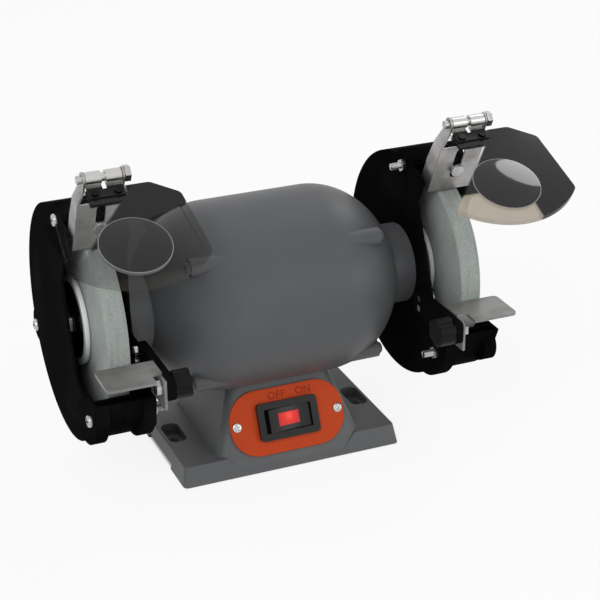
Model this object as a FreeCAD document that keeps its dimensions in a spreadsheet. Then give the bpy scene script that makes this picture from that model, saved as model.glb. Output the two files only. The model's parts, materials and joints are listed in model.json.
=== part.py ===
import FreeCAD, Part
import math
import os
import re
import Sketcher

# Bench grinder: X runs along the shaft to the right, Y to the back, Z up.
# The origin is on the bench under the middle of the base.
# Driving dimensions, in millimetres and degrees.
sizes = {
    "saddle_height": 54, "running_gap": 0.3, "slide_gap": 0.1, "press_clearance": 0.05,
    "base_width": 174, "base_depth": 116, "base_lift": 1, "base_corner": 4, "base_wall": 3.2,
    "skirt_height": 16, "skirt_lean_x": 2.5, "skirt_lean_y": 4, "skirt_round": 1.5,
    "pedestal_width": 114, "pedestal_depth": 104, "pedestal_corner": 9, "pedestal_top_width": 76,
    "saddle_lip": 14, "panel_tilt": 66, "saddle_wall": 4,
    "recess_drop": 11, "recess_half_low": 42, "recess_half": 57, "recess_shoulder": 5,
    "arch_half": 26, "arch_height": 5.5,
    "mount_spacing": 150, "mount_hole_radius": 4.25, "mount_floor": 9.5, "mount_ear_half": 19,
    "mount_pocket_half_x": 7, "mount_pocket_half_y": 15, "mount_pocket_corner": 6, "mount_ear_inner": 14,
    "foot_radius": 7.5, "foot_height": 3, "foot_inset_x": 15, "foot_inset_y": 14, "foot_post_radius": 8,
    "plate_margin": 10, "plate_sheet": 2, "plate_screw_inset": 7, "plate_post_radius": 5,
    "plate_screw_radius": 2, "plate_screw_length": 10, "plate_head_radius": 3.6, "plate_head_height": 1.5,
    "gland_radius": 7, "gland_bore": 3.6, "gland_collar_radius": 10, "gland_collar": 3, "gland_length": 16,
    "gland_across": 28, "gland_up": 22,
    "switch_drop": 36.4, "switch_plate_width": 91, "switch_plate_height": 49, "switch_plate_corner": 22,
    "switch_plate_thick": 2, "switch_screw_spacing": 81, "switch_screw_radius": 1.75,
    "switch_screw_length": 8,
    "switch_head_radius": 3.6, "switch_head_height": 1.8,
    "bezel_lip": 2.4, "bezel_rise": 3.5, "bezel_corner": 3, "case_wall": 1, "case_end": 3,
    "switch_body_depth": 24,
    "rocker_half": 17.4, "rocker_play": 1.1, "well_half_height": 9, "well_depth": 10, "rocker_wing": 4.6,
    "rocker_seat": 2.6, "rocker_keel": 3, "rocker_tilt": 10, "rocker_pivot": 1, "trunnion_radius": 1.5,
    "trunnion_length": 1.5, "window_half": 8.8, "window_half_height": 4.8, "window_depth": 2,
    "window_rise": 0.3,
    "capacitor_radius": 15, "capacitor_length": 54, "capacitor_back": 22,
    "motor_radius": 71, "shell_wall": 2.5, "shell_half": 40, "wire_hole_radius": 6,
    "dome_length": 62, "bell_wall": 4, "neck_radius": 30.7, "hub_lead": 2, "neck_bore_radius": 10,
    "boss_radius": 6.5, "boss_length": 33, "boss_angle": 45, "lug_length": 12,
    "tie_screw_radius": 2.5, "tie_screw_grip": 10, "tie_head_radius": 4.4, "tie_head_height": 3.5,
    "base_screw_radius": 3, "base_screw_at": 31, "base_head_radius": 5, "base_head_height": 3,
    "stack_half": 22, "core_radius": 35.8, "air_gap": 0.5, "winding_inset": 2.5, "winding_outer_radius": 54,
    "winding_length": 13, "winding_chamfer": 4, "shaft_core_radius": 10,
    "bearing_start": 84, "bearing_width": 11, "bearing_bore_radius": 7.5, "bearing_outer_radius": 17.5,
    "ball_radius": 2.9, "ball_clearance": 0.08, "groove_depth": 0.8, "ball_count": 7,
    "wheel_offset": 135.5, "wheel_radius": 75, "wheel_thick": 16, "wheel_chamfer": 1, "arbor_radius": 6.35,
    "blotter_radius": 34, "blotter_thick": 0.5, "flange_radius": 33, "flange_thick": 5.5, "flange_land": 8,
    "flange_relief": 1, "flange_hub_radius": 13, "flange_dish": 2, "nut_radius": 10.4, "nut_height": 6,
    "shaft_overhang": 0.6,
    "flange_gap": 7.2, "guard_plate": 2, "cover_clearance": 1.2, "guard_clearance": 12, "band_inset": 8,
    "lobe_radius": 12.5, "lobe_depth": 10, "screw_inset": 5, "screw_angle": 85,
    "opening_top": 66, "opening_foot": 66, "opening_round": 18, "sill_gap": 2, "rim_stop_angle": 79,
    "cover_top": 45, "cover_foot": 45, "cover_round": 26,
    "trim_top": 62, "trim_foot": 28, "trim_round": 8, "trim_lift": 1,
    "cover_bulge": 3, "bulge_radius": 70, "bulge_slope": 6, "guard_hole_radius": 17,
    "seat_screw_circle": 24, "seat_screw_radius": 2.2,
    "seat_screw_depth": 12, "seat_head_radius": 4, "seat_head_height": 3,
    "guard_screw_radius": 2.5, "guard_head_radius": 4.6, "guard_head_height": 3.2, "guard_nut_radius": 4.8,
    "guard_nut_height": 3.5, "guard_screw_tail": 8,
    "bracket_angle": 64, "web_side_gap": 1.3, "bracket_sheet": 1.5, "web_gap": 2, "web_height": 44,
    "side_depth": 14, "leg_inset": 3, "leg_rise": 12, "ear_rise": 8, "ear_radius": 5,
    "bracket_screw_radius": 3, "tab_screw_rise": 20, "bracket_head_radius": 5, "bracket_head_height": 3.5,
    "slot_clearance": 0.3, "bracket_travel_out": 6, "slot_wear": 16, "tab_half": 13, "tab_thick": 2,
    "tab_margin": 10, "bracket_nut_radius": 6, "bracket_nut_height": 4,
    "hinge_bolt_radius": 3, "hinge_head_radius": 5.8, "hinge_head_height": 4, "hinge_bolt_tail": 3.5,
    "hinge_fit": 0.08, "knuckle_radius": 4.6, "knuckle_gap": 1.5, "knuckle_play": 0.4,
    "clip_sheet": 1.2, "clip_reach": 15, "clip_bridge": 6, "clip_screw_radius": 1.5, "clip_screw_at": 11.5,
    "clip_screw_spread": 8, "clip_head_radius": 2.8, "clip_head_height": 1.6,
    "shield_tilt": 25, "shield_shift": 5, "shield_thick": 2.4, "shield_back": 6.5,
    "shield_hinge_half": 26, "shoulder_half": 44, "shoulder_at": 20, "front_half": 48, "front_at": 74,
    "apex_at": 96, "shield_corner": 6, "border_width": 4, "border_height": 1.6, "lens_radius": 24.5,
    "lens_at": 60, "lens_crown": 2.2,
    "rest_drop": 4, "rest_gap": 2, "rest_depth": 33, "rest_outboard": 19.5, "rest_thick": 2,
    "rest_flange": 24,
    "rest_corner": 4, "notch_length": 13, "notch_width": 8, "flange_setback": 3, "rest_travel": 11,
    "rest_travel_in": 1.5, "clamp_setback": 22, "clamp_drop": 10, "clamp_radius": 3,
    "clamp_head_radius": 5.8,
    "clamp_head_height": 4, "clamp_tail": 10, "arm_thick": 6, "arm_half": 8.5, "arm_nose": 9,
    "arm_root": 39,
    "arm_screw_at": 48, "arm_screw_spread": 8, "arm_screw_radius": 2.5,
    "arm_head_radius": 4.4,
    "arm_head_height": 3, "knob_radius": 10.5, "knob_length": 12, "knob_scallop": 3.4, "knob_lobes": 6,
}

# Lengths that follow from the driving dimensions.
derived = {
    "axis_height": "(saddle_height + motor_radius)",
    "pedestal_top": "(saddle_height + saddle_lip)",
    "plate_half_x": "(pedestal_width / 2)",
    "plate_half_y": "(base_depth / 2 - plate_margin)",
    "switch_mid": "((pedestal_top - skirt_height) / sin(panel_tilt) - switch_drop)",
    "well_half": "(rocker_half + rocker_play)",
    "switch_body_width": "(2 * (well_half + case_end))",
    "switch_body_height": "(2 * (well_half_height + trunnion_length + running_gap + case_wall))",
    "bezel_width": "(switch_body_width + 2 * bezel_lip)",
    "bezel_height": "(switch_body_height + 2 * bezel_lip)",
    "hub_start": "(bearing_start - hub_lead)",
    "boss_circle": "(motor_radius - boss_radius)",
    "boss_end": "(shell_half + boss_length)",
    "wheel_near": "(wheel_offset - wheel_thick / 2)",
    "wheel_far": "(wheel_offset + wheel_thick / 2)",
    "shaft_shoulder": "(wheel_near - blotter_thick - flange_thick)",
    "nut_seat": "(wheel_far + blotter_thick + flange_thick)",
    "shaft_tip": "(nut_seat + nut_height + shaft_overhang)",
    "guard_inboard": "(shaft_shoulder - flange_gap - guard_plate)",
    "cover_face": "(shaft_tip + cover_clearance + guard_plate - cover_bulge)",
    "pan_end": "((guard_inboard + cover_face - running_gap) / 2)",
    "cover_start": "(pan_end + running_gap)",
    "guard_radius": "(wheel_radius + guard_clearance)",
    "band_radius": "(guard_radius - band_inset)",
    "screw_circle": "(guard_radius - screw_inset)",
    "opening_sill": "(rest_drop + rest_flange + sill_gap)",
    "web_half": "(cover_face - guard_plate - wheel_offset - web_side_gap)",
    "leg_half": "(web_half - leg_inset)",
    "web_low": "(wheel_radius + web_gap)",
    "web_top": "(web_low + web_height)",
    "leg_top": "(web_top + leg_rise)",
    "hinge_radius": "(leg_top + ear_rise)",
    "hinge_setback": "(ear_radius - bracket_sheet)",
    "bracket_screw_at": "(band_radius + tab_screw_rise)",
    "tab_top": "(bracket_screw_at + tab_margin)",
    "plate_under": "(-knuckle_radius - shield_thick)",
}

doc = FreeCAD.newDocument("bench_grinder")
sheet = doc.addObject("Spreadsheet::Sheet", "Sizes")
for row, (alias, amount) in enumerate(sizes.items(), 1):
    sheet.set(f"A{row}", alias)
    sheet.set(f"B{row}", str(amount))
    sheet.setAlias(f"B{row}", alias)
doc.recompute()

size_word = re.compile(r"[a-z]+(?:_[a-z]+)+")
turn_x = FreeCAD.Vector(1, 0, 0)
same_spot = 0.01
aims = {"x": FreeCAD.Vector(0, 1, 0), "y": FreeCAD.Vector(-1, 0, 0)}
nodes = []


def spelled(formula):
    # The formula with every derived length written out in driving dimensions.
    words = size_word.findall(formula)
    while any(word in derived for word in words):
        formula = size_word.sub(lambda found: derived.get(found.group(), found.group()), formula)
        words = size_word.findall(formula)
    return formula


def bind(item, field, formula):
    item.setExpression(field, size_word.sub(lambda found: "Sizes." + found.group(), spelled(formula)))


def amount_of(formula):
    sheet.set("D1", "=" + spelled(formula))
    sheet.recompute()
    return float(sheet.get("D1"))


def place(item, at, axis=None, angle="90"):
    if axis is not None:
        item.Placement = FreeCAD.Placement(FreeCAD.Vector(), FreeCAD.Rotation(axis, 90))
        bind(item, "Placement.Rotation.Angle", angle)
    for letter, formula in zip("xyz", at):
        bind(item, f"Placement.Base.{letter}", formula)
    return item


def primitive(kind, name, fields, at, aim):
    item = doc.addObject("Part::" + kind, name)
    for field, formula in fields.items():
        bind(item, field, formula)
    return place(item, at, aims.get(aim))


def cylinder(name, radius, length, at, aim="x"):
    return primitive("Cylinder", name, {"Radius": radius, "Height": length}, at, aim)


def cone(name, start_radius, end_radius, length, at, aim="x"):
    fields = {"Radius1": start_radius, "Radius2": end_radius, "Height": length}
    return primitive("Cone", name, fields, at, aim)


def hexagon(name, radius, length, at, aim="x"):
    item = primitive("Prism", name, {"Circumradius": radius, "Height": length}, at, aim)
    item.Polygon = 6
    return item


def box(name, spans):
    item = doc.addObject("Part::Box", name)
    for field, (low, high) in zip(("Length", "Width", "Height"), spans):
        bind(item, field, f"({high}) - ({low})")
    return place(item, [low for low, high in spans])


def fuse(name, items):
    item = doc.addObject("Part::MultiFuse", name)
    item.Shapes = items
    return item


def cut(name, base, tools):
    item = doc.addObject("Part::Cut", name)
    item.Base = base
    item.Tool = tools[0] if len(tools) == 1 else fuse(name + "_tools", tools)
    return item


def common(name, base, tool):
    item = doc.addObject("Part::Common", name)
    item.Base = base
    item.Tool = tool
    return item


def group(name, items):
    item = doc.addObject("Part::Compound", name)
    item.Links = items
    return item


def mirrored(name, source):
    item = doc.addObject("Part::Mirroring", name)
    item.Source = source
    item.Normal = turn_x
    return item


def shifted(name, source):
    item = group(name, [source])
    bind(item, "Placement.Base.x", "-2 * wheel_offset")
    return item


def node(item, label):
    item.Label = label
    nodes.append(item)
    return item


def both(label, right, maker=mirrored):
    node(right, label + "_right")
    node(maker(label + "_left", right), label + "_left")


def origin_part(body, role):
    return next(feature for feature in body.Origin.OriginFeatures if feature.Role == role)


def new_sketch(body, plane, lift):
    sketch = body.newObject("Sketcher::SketchObject", body.Name + "_sketch")
    sketch.AttachmentSupport = [(origin_part(body, plane), "")]
    sketch.MapMode = "FlatFace"
    bind(sketch, "AttachmentOffset.Base.z", lift)
    return sketch


def hold(sketch, kind, place_in_sketch, formula):
    index = sketch.addConstraint(Sketcher.Constraint(kind, *place_in_sketch, amount_of(formula)))
    bind(sketch, f"Constraints[{index}]", formula)


def polygon(body, plane, points, lift="0", bow=None):
    # The side numbered bow, if any, is an arc that bows out by the given sagitta and its radius.
    sketch = new_sketch(body, plane, lift)
    spots = [FreeCAD.Vector(amount_of(across), amount_of(along), 0) for across, along in points]
    count = len(spots)
    for index, spot in enumerate(spots):
        after = spots[(index + 1) % count]
        if bow and index == bow[0]:
            outward = FreeCAD.Vector(after.y - spot.y, spot.x - after.x, 0).normalize()
            crown = (spot + after) * 0.5 + outward * amount_of(bow[1])
            sketch.addGeometry(Part.Arc(spot, crown, after))
        else:
            sketch.addGeometry(Part.LineSegment(spot, after))
    ends = [(index, 1, 2) for index in range(count)]
    if bow:
        arc = sketch.Geometry[bow[0]]
        if (arc.StartPoint - spots[bow[0]]).Length > same_spot:
            ends[bow[0]] = (bow[0], 2, 1)
    for index in range(count):
        this, after = ends[index], ends[(index + 1) % count]
        sketch.addConstraint(Sketcher.Constraint("Coincident", this[0], this[2], after[0], after[1]))
    for index, (across, along) in enumerate(points):
        hold(sketch, "DistanceX", ends[index][:2], across)
        hold(sketch, "DistanceY", ends[index][:2], along)
    if bow:
        hold(sketch, "Radius", (bow[0],), bow[2])
    return sketch


def rounded_rectangle(body, half_x, half_y, corner, lift, middle_y="0"):
    # Four straight sides and four corner arcs, counter-clockwise from the front side.
    sketch = new_sketch(body, "XY_Plane", lift)
    radius = amount_of(corner)
    for across, along in ((1, -1), (1, 1), (-1, 1), (-1, -1)):
        near = f"({along}) * (({half_y}) - ({corner})) + ({middle_y})"
        far = f"({along}) * ({half_y}) + ({middle_y})"
        side = f"({across}) * ({half_x})"
        inner = f"({across}) * (({half_x}) - ({corner}))"
        flat, upright = (inner, far), (side, near)
        start, end = (flat, upright) if across * along < 0 else (upright, flat)
        centre = FreeCAD.Vector(amount_of(inner), amount_of(near), 0)
        angles = []
        for spot in (start, end):
            reach = FreeCAD.Vector(amount_of(spot[0]), amount_of(spot[1]), 0) - centre
            angles.append(math.atan2(reach.y, reach.x))
        circle = Part.Circle(centre, FreeCAD.Vector(0, 0, 1), radius)
        index = sketch.addGeometry(Part.ArcOfCircle(circle, angles[0], angles[1]))
        for end_number, spot in ((1, start), (2, end)):
            hold(sketch, "DistanceX", (index, end_number), spot[0])
            hold(sketch, "DistanceY", (index, end_number), spot[1])
        hold(sketch, "Radius", (index,), corner)
    for index in range(4):
        after = (index + 1) % 4
        line = Part.LineSegment(sketch.getPoint(index, 2), sketch.getPoint(after, 1))
        side_line = sketch.addGeometry(line)
        sketch.addConstraint(Sketcher.Constraint("Coincident", index, 2, side_line, 1))
        sketch.addConstraint(Sketcher.Constraint("Coincident", side_line, 2, after, 1))
    return sketch


def new_body(name):
    return doc.addObject("PartDesign::Body", name)


def pad(body, sketch, length, backward=False):
    feature = body.newObject("PartDesign::Pad", body.Name + "_pad")
    feature.Profile = sketch
    feature.Reversed = backward
    bind(feature, "Length", length)
    return feature


def extruded(name, plane, points, length, lift="0", backward=False, bow=None):
    body = new_body(name)
    pad(body, polygon(body, plane, points, lift, bow), length, backward)
    return body


def rounded_block(name, half_x, half_y, corner, low, high, middle_y="0"):
    body = new_body(name)
    pad(body, rounded_rectangle(body, half_x, half_y, corner, low, middle_y), f"({high}) - ({low})")
    return body


def add_loft(body, low, high):
    sections = [rounded_rectangle(body, *section) for section in (low, high)]
    feature = body.newObject("PartDesign::AdditiveLoft", body.Name + "_loft")
    feature.Profile = sections[0]
    feature.Sections = sections[1:]
    feature.Ruled = True


def loft(name, low, high):
    body = new_body(name)
    add_loft(body, low, high)
    return body


def spun(name, points):
    # A profile of (along the shaft, radius) turned about the X axis.
    body = new_body(name)
    feature = body.newObject("PartDesign::Revolution", name + "_revolution")
    feature.Profile = polygon(body, "XY_Plane", points)
    feature.ReferenceAxis = (origin_part(body, "X_Axis"), [""])
    feature.Angle = 360
    return body


def round_edges(body, radius, chosen):
    doc.recompute()
    base = body.Tip
    names = [f"Edge{number}" for number, edge in enumerate(base.Shape.Edges, 1) if chosen(edge)]
    feature = body.newObject("PartDesign::Fillet", body.Name + "_fillet")
    feature.Base = (base, names)
    bind(feature, "Radius", radius)
    body.Tip = feature
    return body


def runs_along(edge, axis):
    step = edge.Vertexes[-1].Point - edge.Vertexes[0].Point
    return step.Length > 0 and abs(step.dot(axis)) > 0.999 * step.Length


def ring(name, outer, inner, near, far):
    # A tube about the shaft axis between two stations along X.
    shaft_line = (near, "0", "axis_height")
    length = f"({far}) - ({near})"
    solid = cylinder(name + "_solid", outer, length, shaft_line)
    return cut(name, solid, [cylinder(name + "_bore", inner, length, shaft_line)])


def around(circle, angle):
    # Station on a circle about the shaft, the angle counted up from the front.
    return f"-({circle}) * cos({angle})", f"axis_height + ({circle}) * sin({angle})"


def on_shaft(body):
    return place(body, ("0", "0", "axis_height"))


def on_panel(item):
    # The switch panel: X across, Y up the slope and Z out of it.
    return place(item, ("0", "-pedestal_depth / 2", "skirt_height"), turn_x, "panel_tilt")


def on_bracket(item):
    # The bracket plane: X across, Z out from the shaft axis and Y to the back.
    return place(item, ("wheel_offset", "0", "axis_height"), turn_x, "90 - bracket_angle")


hinge_y, hinge_z = around("hinge_radius", "bracket_angle")
hinge_y += " + hinge_setback * sin(bracket_angle)"
hinge_z += " + hinge_setback * cos(bracket_angle)"


def on_hinge(item):
    # The shield at rest: origin on the hinge axis, -Y along the shield and Z out of its upper face.
    return place(item, ("wheel_offset", hinge_y, hinge_z), turn_x, "shield_tilt")


def screw(name, at, aim, shank, length, head, head_height, head_first=True):
    # A round-headed screw; the shank starts at the point and runs along the aim.
    axis = "xyz".index(aim)
    head_at = list(at)
    head_at[axis] = f"({at[axis]}) - ({head_height})" if head_first else f"({at[axis]}) + ({length})"
    pieces = [cylinder(name + "_shank", shank, length, at, aim)]
    pieces.append(cylinder(name + "_head", head, head_height, head_at, aim))
    return fuse(name, pieces)


def build_base():
    half_x, half_y = "base_width / 2", "base_depth / 2"
    lean_x, lean_y = f"{half_x} - skirt_lean_x", f"{half_y} - skirt_lean_y"
    top_y = "pedestal_depth / 2 - (pedestal_top - skirt_height) / tan(panel_tilt)"
    roof = "axis_height - motor_radius - saddle_wall"
    roof_share = f"(({roof} - skirt_height) / (pedestal_top - skirt_height))"
    roof_x = f"pedestal_width / 2 - (pedestal_width - pedestal_top_width) / 2 * {roof_share}"
    roof_y = f"pedestal_depth / 2 - ({roof} - skirt_height) / tan(panel_tilt)"
    outside = loft("base_outside", (half_x, half_y, "base_corner", "base_lift"),
                   (lean_x, lean_y, "base_corner", "skirt_height"))
    add_loft(outside, ("pedestal_width / 2", "pedestal_depth / 2", "pedestal_corner", "skirt_height"),
             ("pedestal_top_width / 2", top_y, "pedestal_corner", "pedestal_top"))
    brim = amount_of(lean_x) - amount_of("base_corner") - same_spot
    level = amount_of("skirt_height")

    def at_ledge(edge):
        return abs(edge.BoundBox.ZMin - level) + abs(edge.BoundBox.ZMax - level) < same_spot

    def at_brim(edge):
        return max(abs(vertex.X) for vertex in edge.Vertexes) > brim

    round_edges(outside, "skirt_round", lambda edge: at_ledge(edge) and at_brim(edge))
    hollow_low = loft("base_hollow_low",
                      (f"{half_x} - base_wall", f"{half_y} - base_wall", "base_corner", "base_lift"),
                      (f"{lean_x} - base_wall", f"{lean_y} - base_wall", "base_corner",
                       "skirt_height - base_wall"))
    hollow_high = loft("base_hollow_high",
                       ("pedestal_width / 2 - base_wall", "pedestal_depth / 2 - base_wall",
                        "pedestal_corner", "skirt_height - base_wall"),
                       (f"{roof_x} - base_wall", f"{roof_y} - base_wall", "pedestal_corner", roof))
    shell = cut("base_shell", outside, [hollow_low, hollow_high])
    posts = []
    for across in (-1, 1):
        ear = (f"{across} * mount_spacing / 2 - mount_ear_inner",
               f"{across} * mount_spacing / 2 + mount_ear_inner")
        tag = "left" if across < 0 else "right"
        block = box("mount_ear_" + tag, (ear, ("-mount_ear_half", "mount_ear_half"),
                                         ("arch_height", "skirt_height")))
        posts.append(common("mount_ear_trim_" + tag, block, outside))
        for along in (-1, 1):
            spot = f"{tag}_{'front' if along < 0 else 'back'}"
            foot_at = [f"{across} * ({half_x} - foot_inset_x)", f"{along} * ({half_y} - foot_inset_y)",
                       "foot_height"]
            post = cylinder("foot_post_" + spot, "foot_post_radius", "skirt_height - foot_height", foot_at,
                            "z")
            posts.append(common("foot_post_trim_" + spot, post, outside))
            plate_at = [f"{across} * (plate_half_x - plate_screw_inset)",
                        f"{along} * (plate_half_y - plate_screw_inset)", "foot_height + plate_sheet"]
            post = cylinder("plate_post_" + spot, "plate_post_radius",
                            "skirt_height - foot_height - plate_sheet", plate_at, "z")
            posts.append(post)
    solid = fuse("base_solid", [shell] + posts)
    tools = [cylinder("saddle", "motor_radius + press_clearance", "base_width",
                      ("-base_width / 2", "0", "axis_height"))]
    tools.append(box("side_arch", (("-base_width", "base_width"), ("-arch_half", "arch_half"),
                                   ("0", "arch_height"))))
    tools.append(cylinder("wire_hole", "wire_hole_radius", "axis_height / 2",
                          ("0", "0", f"{roof} - running_gap"), "z"))
    for across in (-1, 1):
        tag = "left" if across < 0 else "right"
        middle = f"{across} * mount_spacing / 2"
        pocket = rounded_block("mount_pocket_" + tag, "mount_pocket_half_x", "mount_pocket_half_y",
                               "mount_pocket_corner", "mount_floor", "pedestal_top")
        tools.append(place(pocket, (middle, "0", "0")))
        tools.append(cylinder("mount_hole_" + tag, "mount_hole_radius", "skirt_height", (middle, "0", "0"),
                              "z"))
        tools.append(cylinder("base_screw_hole_" + tag, "base_screw_radius + press_clearance",
                              "saddle_wall * 3",
                              (f"{across} * base_screw_at", "0", f"{roof} - saddle_wall"), "z"))
        for along in (-1, 1):
            spot = f"{tag}_{'front' if along < 0 else 'back'}"
            tools.append(cylinder("plate_screw_hole_" + spot, "plate_screw_radius + press_clearance",
                                  "plate_screw_length",
                                  (f"{across} * (plate_half_x - plate_screw_inset)",
                                   f"{along} * (plate_half_y - plate_screw_inset)", "foot_height"), "z"))
    corners = [("-recess_half_low", "-recess_drop"), ("recess_half_low", "-recess_drop"),
               ("recess_half", "recess_shoulder"), ("recess_half", "switch_mid"),
               ("-recess_half", "switch_mid"), ("-recess_half", "recess_shoulder")]
    tools.append(on_panel(extruded("panel_recess", "XY_Plane", corners, "base_depth")))
    opening = box("switch_opening", (("-switch_body_width / 2 - running_gap",
                                      "switch_body_width / 2 + running_gap"),
                                     ("switch_mid - switch_body_height / 2 - running_gap",
                                      "switch_mid + switch_body_height / 2 + running_gap"),
                                     ("-base_wall * 3", "base_wall")))
    holes = [opening]
    for across in (-1, 1):
        holes.append(cylinder("switch_screw_hole_left" if across < 0 else "switch_screw_hole_right",
                              "switch_screw_radius + press_clearance", "switch_screw_length",
                              (f"{across} * switch_screw_spacing / 2", "switch_mid",
                               "-switch_screw_length"), "z"))
    tools.append(on_panel(fuse("panel_holes", holes)))
    tools.append(cylinder("gland_hole", "gland_radius + press_clearance", "base_depth",
                          ("gland_across", "0", "skirt_height + gland_up"), "y"))
    node(cut("base", solid, tools), "base")


def build_base_fittings():
    half_x, half_y = "base_width / 2", "base_depth / 2"
    feet, plate_screws, holes = [], [], []
    for across in (-1, 1):
        for along in (-1, 1):
            spot = f"{'left' if across < 0 else 'right'}_{'front' if along < 0 else 'back'}"
            feet.append(cylinder("foot_" + spot, "foot_radius", "foot_height",
                                 (f"{across} * ({half_x} - foot_inset_x)",
                                  f"{along} * ({half_y} - foot_inset_y)",
                                  "0"), "z"))
            at = (f"{across} * (plate_half_x - plate_screw_inset)",
                  f"{along} * (plate_half_y - plate_screw_inset)",
                  "foot_height")
            plate_screws.append(screw("plate_screw_" + spot, at, "z", "plate_screw_radius",
                                      "plate_screw_length",
                                      "plate_head_radius", "plate_head_height"))
            holes.append(cylinder("plate_hole_" + spot, "plate_screw_radius + press_clearance",
                                  "plate_sheet", at, "z"))
    node(group("rubber_feet", feet), "rubber_feet")
    node(group("base_plate_screws", plate_screws), "base_plate_screws")
    sheet_body = rounded_block("bottom_sheet", "plate_half_x", "plate_half_y", "plate_post_radius",
                               "foot_height",
                               "foot_height + plate_sheet")
    node(cut("base_bottom_plate", sheet_body, holes), "base_bottom_plate")
    node(cylinder("capacitor", "capacitor_radius", "capacitor_length",
                  ("-capacitor_length / 2", "capacitor_back",
                   "foot_height + plate_sheet + capacitor_radius + press_clearance")), "capacitor")
    rise = "skirt_height + gland_up"
    wall_y = "pedestal_depth / 2 - gland_up / tan(panel_tilt)"
    collar_y = f"{wall_y} + gland_collar_radius / tan(panel_tilt)"
    stem = cylinder("gland_stem", "gland_radius", "gland_length",
                    ("gland_across", f"{collar_y} - gland_length", rise), "y")
    collar = cylinder("gland_collar_ring", "gland_collar_radius", "gland_collar",
                      ("gland_across", collar_y, rise), "y")
    bore = cylinder("gland_through", "gland_bore", "gland_length + gland_collar",
                    ("gland_across", f"{collar_y} - gland_length", rise), "y")
    node(cut("cable_gland", fuse("gland_solid", [stem, collar]), [bore]), "cable_gland")


def build_switch():
    low, high = "switch_mid - switch_body_height / 2", "switch_mid + switch_body_height / 2"
    body_span = ("-switch_body_width / 2", "switch_body_width / 2")
    face = "switch_plate_thick + bezel_rise"
    plate = rounded_block("switch_plate_blank", "switch_plate_width / 2", "switch_plate_height / 2",
                          "switch_plate_corner", "0", "switch_plate_thick", "switch_mid")
    gap = "running_gap"
    window = box("switch_plate_window", ((f"{body_span[0]} - {gap}", f"{body_span[1]} + {gap}"),
                                         (f"{low} - {gap}", f"{high} + {gap}"),
                                         ("0", "switch_plate_thick")))
    holes, screws = [window], []
    for across in (-1, 1):
        tag = "left" if across < 0 else "right"
        at = (f"{across} * switch_screw_spacing / 2", "switch_mid",
              "switch_plate_thick - switch_screw_length")
        holes.append(cylinder("switch_plate_hole_" + tag, "switch_screw_radius + press_clearance",
                              "switch_screw_length", at, "z"))
        screws.append(screw("switch_plate_screw_" + tag, at, "z", "switch_screw_radius",
                            "switch_screw_length",
                            "switch_head_radius", "switch_head_height", head_first=False))
    node(on_panel(cut("switch_plate", plate, holes)), "switch_plate")
    node(on_panel(group("switch_plate_screws", screws)), "switch_plate_screws")

    bezel = rounded_block("switch_bezel", "bezel_width / 2", "bezel_height / 2", "bezel_corner",
                          "switch_plate_thick", face, "switch_mid")
    block = box("switch_block", (body_span, (low, high), ("-switch_body_depth", face)))
    well = box("switch_well", (("-well_half", "well_half"),
                               ("switch_mid - well_half_height", "switch_mid + well_half_height"),
                               (f"{face} - well_depth", face)))
    trunnion_span = "2 * (well_half_height + trunnion_length)"
    trunnion_low = "switch_mid - well_half_height - trunnion_length"
    pivot_z = f"{face} - rocker_pivot - rocker_keel"
    bearing = cylinder("trunnion_holes", "trunnion_radius + hinge_fit",
                       f"{trunnion_span} + 2 * running_gap",
                       ("0", f"{trunnion_low} - running_gap", pivot_z), "y")
    node(on_panel(cut("switch_housing", fuse("switch_case", [bezel, block]), [well, bearing])),
         "switch_housing")

    profile = [("-rocker_half", "-rocker_keel"), ("rocker_half", "-rocker_keel"),
               ("rocker_half", "rocker_wing"),
               ("window_half", "rocker_seat"), ("-window_half", "rocker_seat"),
               ("-rocker_half", "rocker_wing")]
    rocker_high = "well_half_height - running_gap"
    blade = extruded("rocker_blade", "XZ_Plane", profile, f"2 * ({rocker_high})", rocker_high,
                     backward=True)
    pins = cylinder("rocker_pins", "trunnion_radius", trunnion_span,
                    ("0", "-well_half_height - trunnion_length", "0"), "y")
    pane_span = (("-window_half", "window_half"), ("-window_half_height", "window_half_height"))
    seat = box("window_seat", pane_span + (("rocker_seat - window_depth", "rocker_seat + rocker_wing"),))
    rocker = cut("rocker_cut", fuse("rocker_solid", [blade, pins]), [seat])
    pane = box("window_pane", pane_span + (("rocker_seat - window_depth", "rocker_seat + window_rise"),))
    for item, label in ((rocker, "switch_rocker"), (group("window_upright", [pane]), "rocker_window")):
        # The rocker stands tipped to its right-hand, switched-on side.
        tipped = place(item, ("0", "0", "0"), FreeCAD.Vector(0, 1, 0), "rocker_tilt")
        seated = place(group(label + "_seated", [tipped]), ("0", "switch_mid", pivot_z))
        node(on_panel(group(label, [seated])), label)


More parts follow.
